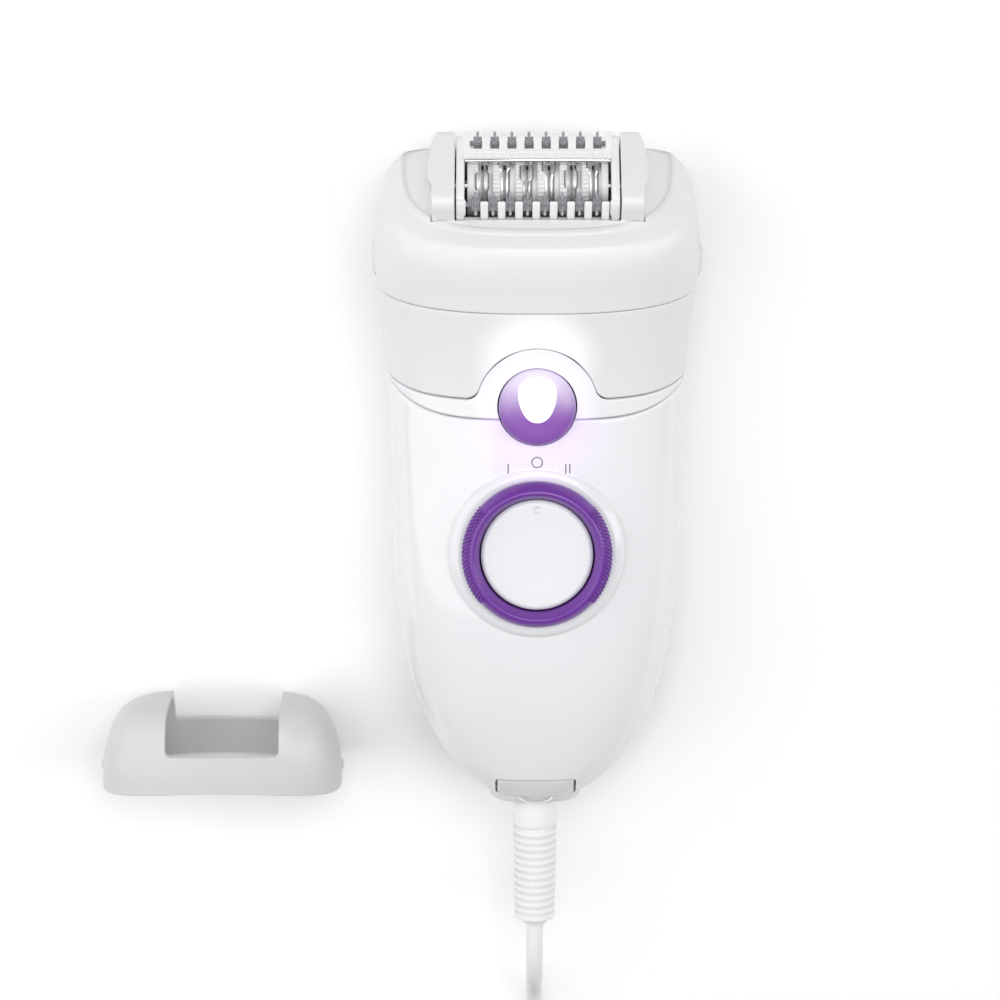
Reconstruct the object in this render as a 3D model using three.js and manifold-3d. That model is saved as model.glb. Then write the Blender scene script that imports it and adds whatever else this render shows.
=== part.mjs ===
// A corded epilator with its contact cap and its low-voltage cord set, lying on its back.
//
// Millimetres. +Z is up, away from the table, and is the side that the controls are on. +Y runs along
// the housing from the cord to the tweezer head, and +X is to the right as the controls face you.
// Stations along Y are measured from the cord end of the housing. The exported group shifts them, so
// that the origin is on the table, under the middle of the flat of the back shell.

import * as THREE from "three";
import { mergeVertices } from "three/addons/utils/BufferGeometryUtils.js";
import Module from "manifold-3d";

// ---- Driving dimensions ----------------------------------------------------------------------------

const ORIGIN_STATION = 62; // the origin's station along the housing
const HOUSING_LENGTH = 111; // station of the seam between the housing and the tweezer head, at the side
const SEAM_LEAN = 0.2; // how far the seam falls back for each millimetre towards the front
const HALF_WIDTH = 29.5; // of the grip, at its widest
const SPLIT_Z = 19; // height of the parting line, and of the widest part of the section
const WALL = 1.8;
const GAP = 0.3; // between parts that meet
const RING_SIDES = 32;

const PANEL_TILT = 5; // degrees that the front panel falls towards the head
const KNOB = { station: 58, radius: 15, disc: 11.3, base: 36.1, top: 41.7 };
const LAMP = { station: 87.6, radius: 8, base: 32.3, top: 37.1 };
const ARCH = { station: 87.6, radius: 12.2, foot: 89.1, fillet: 3, rise: 2.8 };
const BOARD = { top: 29.9 };
const CORD_Z = 17; // height of the socket's axis
const CORD_RADIUS = 1.8;

const MODULE = 0.8; // of the spur gears
const GEAR_X = { from: -20.7, to: -17.7 };
const TEETH = { crownSpur: 16, transfer: 26, headIdler: 21, drum: 13, crown: 32, pinion: 8 };
const PINION_RADIUS = 2.5;
const CROWN_RADIUS = (PINION_RADIUS * TEETH.crown) / TEETH.pinion;
const CROWN_AXIS = { y: 84, z: CORD_Z };
const TRANSFER_ANGLE = 4; // degrees, of the line from the crown's axis to the transfer gear's
const AXLE_RADIUS = 1;

const CASSETTE = { y: 130.1, z: 25, tilt: 42 }; // the comb frame's centre, and how far it leans forward
const COMB_PITCH = 3.57;
const DRUM = { lift: 0.8, radius: 6.2, halfLength: 14.6, hub: 3.2, units: 6, pitch: 4.6 };
const ROLLER = { radius: 2.1, root: 1.45, width: 1.7, shaft: 0.55, wheels: 8 };

const CAP = { x: -66.5, station: -1, halfWidth: 25.4, depth: 27, base: 1, windowHalf: 11.9, sill: 9.5, top: 18.4,
  wall: 1.3 };

const COIL = { x: -27, station: -92, inner: 14.2, outer: 29, height: 14.6 };
const ADAPTER = { x: -84, from: -122, length: 46, width: 33, height: 26, pinRadius: 2, pinSpacing: 19 };
const ADAPTER_PIN_LENGTH = 18;
const RELIEF_LENGTH = 31;

// ---- Materials --------------------------------------------------------------------------------------

const plastic = (color, roughness, more = {}) =>
  new THREE.MeshStandardMaterial({ color, roughness, metalness: 0, ...more });
const metal = (color, roughness) =>
  new THREE.MeshStandardMaterial({ color, roughness, metalness: 1 });

const satinWhite = plastic(0xf1f1f1, 0.42);
const glossWhite = plastic(0xf6f6f7, 0.16);
const clearPlastic = plastic(0xf4f6f8, 0.08, { transparent: true, opacity: 0.4 });
const purple = plastic(0x6a2c9c, 0.25);
const lampPurple = plastic(0x8f5bb8, 0.2);
const lampGlow = plastic(0xffffff, 0.2, { emissive: 0xffffff });
const smokePlastic = plastic(0xb9bcc0, 0.25);
const innerPlastic = plastic(0xd8dade, 0.5);
const gearPlastic = plastic(0xeae6da, 0.45);
const boardGreen = plastic(0x2f6b45, 0.5);
const steel = metal(0xc9ccd0, 0.22);
const chrome = metal(0xe6e8ea, 0.08);
const brass = metal(0xc9a86a, 0.3);
const cordWhite = plastic(0xececee, 0.5);

// ---- Solids -----------------------------------------------------------------------------------------

const wasm = await Module();
wasm.setup();

// A closed geometry as a manifold-3d solid, for joining and cutting.
function solid(geometry) {
  const bare = new THREE.BufferGeometry();
  bare.setAttribute("position", geometry.getAttribute("position"));
  bare.setIndex(geometry.index);
  const merged = mergeVertices(bare, 1e-4);
  return new wasm.Manifold(
    new wasm.Mesh({
      numProp: 3,
      vertProperties: merged.attributes.position.array,
      triVerts: new Uint32Array(merged.index.array),
    }),
  );
}

// A solid as a geometry that a mesh can hold.
function geometryOf(made) {
  const found = made.getMesh();
  const places = new Float32Array(found.numVert * 3);
  for (let i = 0; i < found.numVert; i++) {
    places.set(found.vertProperties.subarray(i * found.numProp, i * found.numProp + 3), i * 3);
  }
  const geometry = new THREE.BufferGeometry();
  geometry.setAttribute("position", new THREE.BufferAttribute(places, 3));
  geometry.setIndex(new THREE.BufferAttribute(found.triVerts, 1));
  geometry.computeVertexNormals();
  return geometry;
}

const join = (solids) => solids.reduce((whole, next) => whole.add(next));
const cut = (whole, solids) => solids.reduce((left, next) => left.subtract(next), whole);

const box = (x0, x1, y0, y1, z0, z1) =>
  solid(
    new THREE.BoxGeometry(x1 - x0, y1 - y0, z1 - z0).translate((x0 + x1) / 2, (y0 + y1) / 2, (z0 + z1) / 2),
  );

// An outline of [u, v] points with straight sides, and with round holes given as [u, v, radius].
function outline(points, holes = [], holeSides = 16) {
  const shape = new THREE.Shape(points.map(([u, v]) => new THREE.Vector2(u, v)));
  for (const [u, v, radius] of holes) {
    const hole = circlePoints(u, v, radius, holeSides).map(([a, b]) => new THREE.Vector2(a, b));
    shape.holes.push(new THREE.Path(hole));
  }
  return shape;
}

function circlePoints(u, v, radius, sides) {
  return Array.from({ length: sides }, (_, i) => {
    const angle = (2 * Math.PI * (i + 0.5)) / sides;
    return [u + radius * Math.cos(angle), v + radius * Math.sin(angle)];
  });
}

const extruded = (shape, depth) =>
  new THREE.ExtrudeGeometry(shape, { depth, bevelEnabled: false, curveSegments: 12 });

// An outline drawn in Y and Z, filled from x0 to x1.
const ALONG_X = new THREE.Matrix4().makeBasis(
  new THREE.Vector3(0, 1, 0),
  new THREE.Vector3(0, 0, 1),
  new THREE.Vector3(1, 0, 0),
);
const alongX = (shape, x0, x1) => solid(extruded(shape, x1 - x0).applyMatrix4(ALONG_X).translate(x0, 0, 0));

// An outline drawn in X and Y, filled from z0 to z1.
const alongZ = (shape, z0, z1) => solid(extruded(shape, z1 - z0).translate(0, 0, z0));

const rodX = (y, z, radius, x0, x1, sides = 16) => alongX(outline(circlePoints(y, z, radius, sides)), x0, x1);
const rodZ = (x, y, radius, z0, z1, sides = 40) => alongZ(outline(circlePoints(x, y, radius, sides)), z0, z1);

// A lathe profile of [radius, height] points, turned about an axis along +Z, with its foot at the origin.
const turned = (points, sides = 40) =>
  solid(
    new THREE.LatheGeometry(
      points.map(([radius, height]) => new THREE.Vector2(radius, height)),
      sides,
    ).rotateX(Math.PI / 2),
  );

// The same, with its axis along Y: heights are stations along +Y, and the axis is at height z.
const turnedY = (points, z, sides = 28) =>
  solid(
    new THREE.LatheGeometry(
      points.map(([radius, station]) => new THREE.Vector2(radius, station)),
      sides,
    ).translate(0, 0, z),
  );

// A closed skin over rings of equal length, with a fan over each end.
function loft(rings) {
  const sides = rings[0].length;
  const middle = (ring) => ring.reduce((sum, p) => sum.clone().add(p), new THREE.Vector3()).divideScalar(sides);
  const places = [...rings.flat(), middle(rings[0]), middle(rings.at(-1))].flatMap((p) => p.toArray());
  const foot = rings.length * sides;
  const head = foot + 1;
  const last = (rings.length - 1) * sides;
  const faces = [];
  for (let i = 0; i < sides; i++) {
    const j = (i + 1) % sides;
    faces.push(foot, i, j, head, last + j, last + i);
    for (let r = 0; r + 1 < rings.length; r++) {
      const a = r * sides;
      const b = a + sides;
      faces.push(a + i, b + j, a + j, a + i, b + i, b + j);
    }
  }
  const geometry = new THREE.BufferGeometry();
  geometry.setAttribute("position", new THREE.Float32BufferAttribute(places, 3));
  geometry.setIndex(faces);
  const made = solid(geometry);
  return made.volume() < 0 ? solid(turnedOver(geometry)) : made;
}

function turnedOver(geometry) {
  const faces = Array.from(geometry.index.array);
  for (let i = 0; i < faces.length; i += 3) [faces[i + 1], faces[i + 2]] = [faces[i + 2], faces[i + 1]];
  geometry.setIndex(faces);
  return geometry;
}

// ---- The housing's section --------------------------------------------------------------------------

// The value at x of a smooth curve through [x, value] knots.
function smooth(knots, x) {
  const last = knots.length - 1;
  if (x <= knots[0][0]) return knots[0][1];
  if (x >= knots[last][0]) return knots[last][1];
  const i = knots.findIndex(([at]) => at > x) - 1;
  const slope = (k) => {
    const a = knots[Math.max(k - 1, 0)];
    const b = knots[Math.min(k + 1, last)];
    return (b[1] - a[1]) / (b[0] - a[0]);
  };
  const span = knots[i + 1][0] - knots[i][0];
  const t = (x - knots[i][0]) / span;
  const t2 = t * t;
  const t3 = t2 * t;
  return (
    (2 * t3 - 3 * t2 + 1) * knots[i][1] +
    (t3 - 2 * t2 + t) * span * slope(i) +
    (3 * t2 - 2 * t3) * knots[i + 1][1] +
    (t3 - t2) * span * slope(i + 1)
  );
}

const END_ROUNDING = { length: 66, power: 2.6, root: 0.42 }; // how the grip's plan closes at the cord end
const NECK_WIDTHS = [[66, 29.5], [88, 30.1], [98, 30.9], [108, 31.9], [112, 32.6]];
const FRONT_HEIGHTS = [[0, 26], [4, 28.4], [12, 31.4], [26, 35], [42, 36.9], [58, 36.3], [75, 34.9], [89, 34.3],
  [100, 35.6], [112, 38]];
const BACK_HEIGHTS = [[0, 8], [4, 5.6], [12, 2.6], [26, 0.2], [40, -0.8], [98, -0.8], [112, 0]];

function halfWidth(station) {
  if (station >= END_ROUNDING.length) return smooth(NECK_WIDTHS, station);
  const left = 1 - Math.max(station, 0) / END_ROUNDING.length;
  return HALF_WIDTH * (1 - left ** END_ROUNDING.power) ** END_ROUNDING.root;
}

// A ring of the housing: a rounded rectangle in X and Z. Its front and back halves may lean, each by its own slope.
const SQUARENESS = 0.8;
function ring(station, width, back, front, [lean, backLean] = [0, 0], squareness = SQUARENESS) {
  return Array.from({ length: RING_SIDES }, (_, i) => {
    const angle = (2 * Math.PI * i) / RING_SIDES;
    const bent = (v) => Math.sign(v) * Math.abs(v) ** squareness;
    const across = width * bent(Math.cos(angle));
    const up = bent(Math.sin(angle));
    const z = SPLIT_Z + up * (up > 0 ? front - SPLIT_Z : SPLIT_Z - back);
    return new THREE.Vector3(across, station + (z > SPLIT_Z ? lean : backLean) * (SPLIT_Z - z), z);
  });
}

const housingRing = (station, inset) =>
  ring(
    station,
    halfWidth(station) - inset,
    smooth(BACK_HEIGHTS, station) + inset,
    smooth(FRONT_HEIGHTS, station) - inset,
  );

const OUTER_STATIONS = [2, 3.4, 5.5, 8.5, 13, 19, 27, 38, 52, 68, 84, 97, HOUSING_LENGTH, HOUSING_LENGTH + 5];
const INNER_STATIONS = [6, 8.5, 13, 20, 30, 45, 65, 85, 98, HOUSING_LENGTH, HOUSING_LENGTH + 6];

function housingWall() {
  const outer = loft(OUTER_STATIONS.map((station) => housingRing(station, 0)));
  const inner = loft(INNER_STATIONS.map((station) => housingRing(station, WALL)));
  const table = box(-60, 60, -10, 200, -20, 0); // the back is flat where it rests
  return cut(outer, [inner, table]);
}

// The front view's curves, right half first, as points that go from the middle outwards.
const EDGE = 40; // past the side of the housing
function bandLowerEdge() {
  return Array.from({ length: 15 }, (_, i) => {
    const x = (i / 14) * EDGE;
    return [x, 85 + 6.2 * Math.min(x / 30.1, 1) ** 5];
  });
}

function archEdge() {
  const { station, radius, foot, fillet, rise } = ARCH;
  const filletY = foot + fillet;
  const reach = radius + fillet;
  const filletX = Math.sqrt(reach ** 2 - (filletY - station) ** 2);
  const meet = Math.atan2(filletY - station, filletX);
  const arc = Array.from({ length: 9 }, (_, i) => {
    const angle = Math.PI / 2 + ((meet - Math.PI / 2) * i) / 8;
    return [radius * Math.cos(angle), station + radius * Math.sin(angle)];
  });
  const turn = Array.from({ length: 6 }, (_, i) => {
    const from = meet + Math.PI;
    const angle = from + ((1.5 * Math.PI - from) * (i + 1)) / 6;
    return [filletX + fillet * Math.cos(angle), filletY + fillet * Math.sin(angle)];
  });
  const wing = Array.from({ length: 8 }, (_, i) => {
    const x = filletX + ((EDGE - filletX) * (i + 1)) / 8;
    return [x, foot + rise * Math.min(x / 30.1, 1) ** 6];
  });
  return [...arc, ...turn, ...wing];
}

const mirrored = (half) => [...half.slice(1).reverse().map(([x, y]) => [-x, y]), ...half];
const lifted = (points, by) => points.map(([x, y]) => [x, y + by]);

// Everything below (side -1) or above (side 1) a front-view curve, over the front half of the housing.
function beyond(curve, side) {
  const far = side < 0 ? -40 : 200;
  const points = [...curve, [EDGE, far], [-EDGE, far]];
  return alongZ(outline(side < 0 ? points.reverse() : points), SPLIT_Z - 0.15, 60);
}

// Everything on the head's side of the seam, which leans, moved along by an offset.
function beyondSeam(offset) {
  const at = (z) => [HOUSING_LENGTH + offset + SEAM_LEAN * (SPLIT_Z - z), z];
  return alongX(outline([at(-20), [200, -20], [200, 80], at(80)]), -60, 60);
}

// ---- The handle -------------------------------------------------------------------------------------

const root = new THREE.Group();
root.position.set(0, -ORIGIN_STATION, 0);

function add(name, made, material, parent = root) {
  const mesh = new THREE.Mesh(geometryOf(made), material);
  mesh.name = name;
  parent.add(mesh);
  return mesh;
}

const SOCKET = { halfWidth: 6.7, top: 4.8, bore: 5.4 };

// Sets a solid that is drawn about the Z axis square to the front panel, at a knob's or lamp's place.
const onPanel = (made, { station, base }) =>
  made.translate([0, 0, -base]).rotate([-PANEL_TILT, 0, 0]).translate([0, station, base]);

const knobHole = () => onPanel(rodZ(0, 0, KNOB.disc + 0.6, 28, 60), KNOB);
const lampHole = () => onPanel(rodZ(0, 0, LAMP.radius + GAP, 26, 60), LAMP);

function buildShells() {
  const wall = housingWall();
  const lower = mirrored(bandLowerEdge());
  const upper = mirrored(archEdge());
  const half = GAP / 2;

  const socketNotch = box(-SOCKET.halfWidth, SOCKET.halfWidth, -2, SOCKET.top, SPLIT_Z, 60);
  const socketBore = turnedY([[0, -5], [SOCKET.bore + 1.6, -5], [SOCKET.bore + 1.6, 9], [0, 9]], CORD_Z);
  const low = KNOB.base - 0.9;
  const plinth = onPanel(
    turned([[0, low], [17.7, low], [17.7, low + 0.5], [16.9, low + 1.3], [15.8, low + 1.7], [0, low + 1.7]], 48),
    KNOB,
  );
  const frontWall = cut(wall.add(plinth), [box(-60, 60, -40, 200, -20, SPLIT_Z + half)]);
  const front = cut(frontWall.intersect(beyond(lifted(lower, -half), -1)), [
    knobHole(),
    lampHole(),
    socketNotch,
    socketBore,
  ]);
  add("front_shell", front, glossWhite);

  const back = cut(wall, [
    box(-60, 60, -40, 200, SPLIT_Z - half, 80),
    box(-60, 60, ARCH.foot + ARCH.rise - half, 200, -20, 80),
    socketBore,
    ...screwHoles(),
  ]);
  add("back_shell", back, satinWhite);

  const above = beyond(lifted(upper, half), 1);
  const behind = box(-60, 60, ARCH.foot + ARCH.rise + half, 200, -20, SPLIT_Z + 0.5);
  const ends = beyondSeam(-half);
  const neck = cut(wall.intersect(above.add(behind)), [ends, lampHole()]);
  add("neck_shell", neck, satinWhite);

  const band = cut(wall.intersect(beyond(lifted(lower, half), 1)), [
    beyond(lifted(upper, -half), 1),
    box(-60, 60, -40, 200, -20, SPLIT_Z + half),
    lampHole(),
  ]);
  add("collar_band", band, glossWhite);
}

const SCREWS = [[0, 24], [0, 80]]; // X and station of the screws in the back
const screwHoles = () => SCREWS.map(([x, y]) => rodZ(x, y, 2.6, -5, 5, 16));

function buildScrews() {
  SCREWS.forEach(([x, y], i) => {
    const head = turned([[0, 0.4], [2.2, 0.4], [2.2, 1.9], [1.1, 1.9], [1.1, 3.2], [0, 3.2]], 16);
    const slot = box(-1.5, 1.5, -0.3, 0.3, 0, 0.9);
    add(`shell_screw_${i + 1}`, cut(head, [slot]).translate([x, y, 0]), steel);
  });
}

function buildLamp() {
  const { radius, base, top } = LAMP;
  const rim = [[0, base - 2], [5.8, base - 2], [5.8, base], [radius - 0.05, base], [radius, base + 2.6],
    [radius - 0.7, top - 1.1], [radius - 2.4, top - 0.2], [0, top]];
  const pocket = turned([[0, base - 3], [3.6, base - 3], [3.9, top + 2], [0, top + 2]], 24);
  const bezel = cut(turned(rim), [pocket.translate([0, 1.4, 0])]);
  add("lamp_bezel", onPanel(bezel, LAMP), lampPurple);

  const lens = turned([[0, base - 1], [3.2, base - 1], [3.45, top - 0.6], [2.6, top + 0.2], [0, top + 0.6]], 24);
  add("lamp_window", onPanel(lens.translate([0, 1.4, 0]), LAMP), lampGlow);

  const foot = BOARD.top + GAP;
  const led = turned([[0, foot], [1.5, foot], [1.5, foot + 0.3], [0.9, foot + 0.6], [0, foot + 0.8]], 12);
  add("led", led.translate([0, LAMP.station + 1.4, 0]), lampGlow);
}

function buildSocket() {
  const collarRing = (station, width, back, front) => ring(station, width, back, front);
  const body = loft([
    collarRing(-0.9, 8.5, 10.6, 23.8),
    collarRing(-0.4, 9.5, 9.6, 25),
    collarRing(1.5, 9.8, 9.2, 25.4),
  ]);
  const tongue = box(-SOCKET.halfWidth + GAP, SOCKET.halfWidth - GAP, 1, SOCKET.top - GAP, 24.2, 26.6);
  const sleeve = turnedY([[0, 1], [SOCKET.bore + 1.3, 1], [SOCKET.bore + 1.3, 6.5], [0, 6.5]], CORD_Z);
  const bore = turnedY([[0, -5], [SOCKET.bore, -5], [SOCKET.bore, 20], [0, 20]], CORD_Z);
  const clear = box(-8.9, 8.9, 0.5, SOCKET.top - GAP, 21, 26.6).intersect(tongue);
  add("socket_collar", cut(join([body, sleeve, clear]), [bore]), clearPlastic);

  const cup = turnedY([[0, 7], [6.6, 7], [6.6, 17], [0, 17]], CORD_Z);
  const inside = turnedY([[0, 5], [4.5, 5], [4.5, 15.6], [0, 15.6]], CORD_Z);
  const pinHoles = [-1, 1].map((side) => pinY(side * 1.9, 0.9, 14, 20));
  add("socket_insert", cut(cup, [inside, ...pinHoles]), innerPlastic);
  [["left", -1], ["right", 1]].forEach(([name, side]) => {
    add(`socket_pin_${name}`, pinY(side * 1.9, 0.6, 9, 19.5), brass);
  });
}

const pinY = (x, radius, from, to) =>
  turnedY([[0, from], [radius, from], [radius, to], [0, to]], CORD_Z, 12).translate([x, 0, 0]);

function buildKnob() {
  const { radius, disc, base, top } = KNOB;
  const foot = base + 1.2;
  const ringProfile = [[disc + 0.3, foot], [radius - 0.4, foot], [radius, foot + 0.8], [radius - 0.2, foot + 2.2],
    [radius - 1.3, top - 0.5], [radius - 2.3, top - 0.4], [disc + 0.3, foot + 2.2], [disc + 0.3, foot]];
  add("knob_ring", onPanel(turned(ringProfile, 48), KNOB), purple);

  const face = [[0, 32], [3, 32], [3, base - 0.4], [disc, base - 0.4], [disc, foot + 1.4], [disc - 0.5, foot + 2],
    [6, foot + 1.7], [0, foot + 1.5]];
  const dimple = turned([[0, 0], [0.5, 0], [0.9, 2], [0, 2]], 12).translate([0, 9.4, foot + 1.5]);
  add("knob_disc", onPanel(cut(turned(face, 48), [dimple]), KNOB), satinWhite);
}

// ---- The drive --------------------------------------------------------------------------------------

const MOTOR = { from: 32, to: 66, radius: 11.6, flat: 9.2 };
const PINION = { from: 72.4, to: 75.7 };

function buildMotor() {
  const { from, to, radius, flat } = MOTOR;
  const can = turnedY([[0, from], [radius - 0.8, from], [radius, from + 0.8], [radius, to], [3, to], [3, to + 1.6],
    [0, to + 1.6]], CORD_Z);
  const flats = [box(-20, 20, from - 1, to + 3, CORD_Z + flat, 60), box(-20, 20, from - 1, to + 3, -20, CORD_Z - flat)];
  const bore = turnedY([[0, to - 3], [1.25, to - 3], [1.25, to + 5], [0, to + 5]], CORD_Z, 12);
  add("motor_can", cut(can, [...flats, bore]), steel);

  const shaft = turnedY([[0, to - 2], [0.9, to - 2], [0.9, PINION.to + 1], [0, PINION.to + 1]], CORD_Z, 12);
  add("motor_shaft", shaft, steel);

  const pitch = (2 * Math.PI) / TEETH.pinion;
  const m = (2 * PINION_RADIUS) / TEETH.pinion;
  const teeth = gearPoints(TEETH.pinion, PINION_RADIUS, m, Math.PI, pitch);
  const wheel = extruded(outline(teeth, [[0, 0, 1.15]], 12), PINION.to - PINION.from)
    .rotateX(-Math.PI / 2)
    .translate(0, PINION.from, CORD_Z);
  add("motor_pinion", solid(wheel), brass);
}

// The outline of a spur gear with slim straight-sided teeth, which leave backlash. One tooth is at phase.
function gearPoints(count, radius, module, phase, pitch = (2 * Math.PI) / count) {
  const root_ = radius - module;
  const tip = radius + 0.7 * module;
  return Array.from({ length: count }, (_, i) =>
    [[root_, -0.28], [tip, -0.12], [tip, 0.12], [root_, 0.28]].map(([r, share]) => {
      const angle = phase + (i + share) * pitch;
      return [r * Math.cos(angle), r * Math.sin(angle)];
    }),
  ).flat();
}

const pitchRadius = (count) => (count * MODULE) / 2;

// The gears' axes in Y and Z, each found from the last, and the phases that put their teeth in mesh.
const TILT = (CASSETTE.tilt * Math.PI) / 180;
const drumAxis = {
  y: CASSETTE.y + DRUM.lift * Math.cos(TILT),
  z: CASSETTE.z + DRUM.lift * Math.sin(TILT),
};

function layOutGears() {
  const spacing = (a, b) => pitchRadius(TEETH[a]) + pitchRadius(TEETH[b]);
  const lean = (TRANSFER_ANGLE * Math.PI) / 180;
  const first = spacing("crownSpur", "transfer");
  const transfer = { y: CROWN_AXIS.y + first * Math.cos(lean), z: CROWN_AXIS.z + first * Math.sin(lean) };
  const near = spacing("transfer", "headIdler");
  const far = spacing("headIdler", "drum");
  const span = Math.hypot(drumAxis.y - transfer.y, drumAxis.z - transfer.z);
  const along = (near ** 2 - far ** 2 + span ** 2) / (2 * span);
  const aside = Math.sqrt(near ** 2 - along ** 2);
  const u = [(drumAxis.y - transfer.y) / span, (drumAxis.z - transfer.z) / span];
  const headIdler = { y: transfer.y + along * u[0] + aside * u[1], z: transfer.z + along * u[1] - aside * u[0] };
  return { crownSpur: CROWN_AXIS, transfer, headIdler, drum: drumAxis };
}

const axes = layOutGears();

// The phase of gear b, so that one of its gaps meets the tooth of gear a that is nearest it.
function meshingPhase(a, b, phaseOfA) {
  const towards = Math.atan2(axes[b].z - axes[a].z, axes[b].y - axes[a].y);
  const fromTooth = ((towards - phaseOfA) * TEETH[a]) / (2 * Math.PI);
  return towards + Math.PI - ((0.5 - fromTooth) * 2 * Math.PI) / TEETH[b];
}

const phases = { crownSpur: 0 };
phases.transfer = meshingPhase("crownSpur", "transfer", phases.crownSpur);
phases.headIdler = meshingPhase("transfer", "headIdler", phases.transfer);
phases.drum = meshingPhase("headIdler", "drum", phases.headIdler);

function spurGear(name, bore) {
  const points = gearPoints(TEETH[name], pitchRadius(TEETH[name]), MODULE, phases[name]);
  const shape = outline(points, [[0, 0, bore]], 12);
  return alongX(shape, GEAR_X.from, GEAR_X.to).translate([0, axes[name].y, axes[name].z]);
}

function buildGears() {
  const bore = AXLE_RADIUS + 0.2;
  const disc = alongX(outline(circlePoints(0, 0, CROWN_RADIUS + 1.4, 40)), -6, -3.2);
  const teeth = Array.from({ length: TEETH.crown }, (_, i) => crownTooth(i));
  const sleeve = rodX(0, 0, 2.8, GEAR_X.to - 0.5, -5);
  const crown = cut(join([disc, sleeve, ...teeth]), [rodX(0, 0, bore, -30, 10, 12)]);
  const spur = cut(spurGear("crownSpur", bore), []);
  const placed = crown.translate([0, CROWN_AXIS.y, CROWN_AXIS.z]);
  add("crown_gear", placed.add(spur), gearPlastic);
  add("crown_axle", rodX(CROWN_AXIS.y, CROWN_AXIS.z, AXLE_RADIUS, -23, 8, 12), steel);

  add("transfer_gear", spurGear("transfer", bore), gearPlastic);
}

// A rib across the rim of the crown gear's face, pointing at the pinion. The gaps are at whole steps from -Y.
function crownTooth(index) {
  const pitch = (2 * Math.PI * CROWN_RADIUS) / TEETH.crown;
  const m = (2 * PINION_RADIUS) / TEETH.pinion;
  const root_ = -3.3;
  const tip = -PINION_RADIUS + 0.7 * m;
  const shape = outline([[root_, -0.25 * pitch], [tip, -0.12 * pitch], [tip, 0.12 * pitch], [root_, 0.25 * pitch]]);
  const rib = solid(extruded(shape, 2.3).applyMatrix4(RIB).translate(0, CROWN_RADIUS - 1.1, 0));
  const angle = 180 + ((index + 0.5) * 360) / TEETH.crown;
  return rib.rotate([angle, 0, 0]);
}

// Takes a rib's section, drawn in X and tangent, and its length, to X, Z and the radial direction Y.
const RIB = new THREE.Matrix4().makeBasis(
  new THREE.Vector3(1, 0, 0),
  new THREE.Vector3(0, 0, -1),
  new THREE.Vector3(0, 1, 0),
);

function buildChassis() {
  const bore = AXLE_RADIUS + 0.2;
  const plate = box(-15.7, -14.2, 68.4, 106, 4.6, 29.8);
  const cheek = box(5.6, 7.1, 68.4, 93, 4.6, 25);
  const bulkhead = box(-15.7, 7.1, 68.4, 70.2, 4.6, 27.5);
  const floor = box(-15.7, 7.1, 68.4, 106, 3.6, 5);
  const openings = [
    rodX(CROWN_AXIS.y, CROWN_AXIS.z, 3.3, -17, -12),
    rodX(CROWN_AXIS.y, CROWN_AXIS.z, bore, 4, 9, 12),
    turnedY([[0, 66], [3.4, 66], [3.4, 72], [0, 72]], CORD_Z),
  ];
  const post = rodX(axes.transfer.y, axes.transfer.z, AXLE_RADIUS, GEAR_X.from - 0.6, -15, 12);
  add("chassis", cut(join([plate, cheek, bulkhead, floor, post]), openings), innerPlastic);
}

function buildElectronics() {
  add("circuit_board", box(-13, 13, 20, 91.6, BOARD.top - 1.2, BOARD.top), boardGreen);
  add("switch_block", box(-5, 5, 47.5, 52.5, BOARD.top + GAP, BOARD.top + 1.7), innerPlastic);
}

// ---- The tweezer head -------------------------------------------------------------------------------

const HEAD_RINGS = [
  // station, half width, back, front, slopes of the front and back, squareness
  [HOUSING_LENGTH + 0.15, halfWidth(HOUSING_LENGTH), -0.2, smooth(FRONT_HEIGHTS, HOUSING_LENGTH),
    [SEAM_LEAN, SEAM_LEAN], SQUARENESS],
  [115, 32.9, 0, 38.4, [0.22, 0.19], 0.78],
  [120, 32.7, 0.5, 39.2, [0.28, 0.13], 0.74],
  [125.4, 32.1, 1.4, 39.5, [0.38, 0.07], 0.69],
  [130, 31, 2.9, 39.2, [0.48, 0.03], 0.65],
  [133.2, 29.5, 4.6, 38.5, [0.54, 0], 0.63],
  [135.1, 27.7, 6.6, 37.2, [0.58, 0], 0.62],
];
const headRing = ([station, width, back, front, lean, squareness], inset, lift = 0) =>
  ring(station + lift, width - inset, back + inset, front - inset, lean, squareness);

const BUTTON = { station: 115.6, halfLength: 3, halfHeight: 5.5, ribs: 4, pitch: 1.4 };

function buildHeadShell() {
  const outer = loft(HEAD_RINGS.map((r) => headRing(r, 0)));
  const inner = loft([
    headRing(HEAD_RINGS[0], WALL, -3),
    ...HEAD_RINGS.slice(0, -1).map((r) => headRing(r, WALL)),
    headRing(HEAD_RINGS.at(-1), 0.8, 0),
    headRing(HEAD_RINGS.at(-1), 0.8, 4),
  ]);
  const table = box(-60, 60, 90, 200, -20, 0);
  const sides = [-1, 1].map((side) => buttonBlock(GAP).translate([side * 30, 0, 0]));
  const pods = [-1, 1].map((side) => pod(side, -GAP, SIDE.inner, SIDE.outer + GAP));
  add("head_shell", cut(outer, [inner, table, ...sides, ...pods]), satinWhite, head);
}

// The block that a side button fills, with room all round.
function buttonBlock(room) {
  const { station, halfLength, halfHeight } = BUTTON;
  return box(-6, 6, station - halfLength - room, station + halfLength + room, SPLIT_Z - halfHeight - room,
    SPLIT_Z + halfHeight + room);
}

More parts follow.
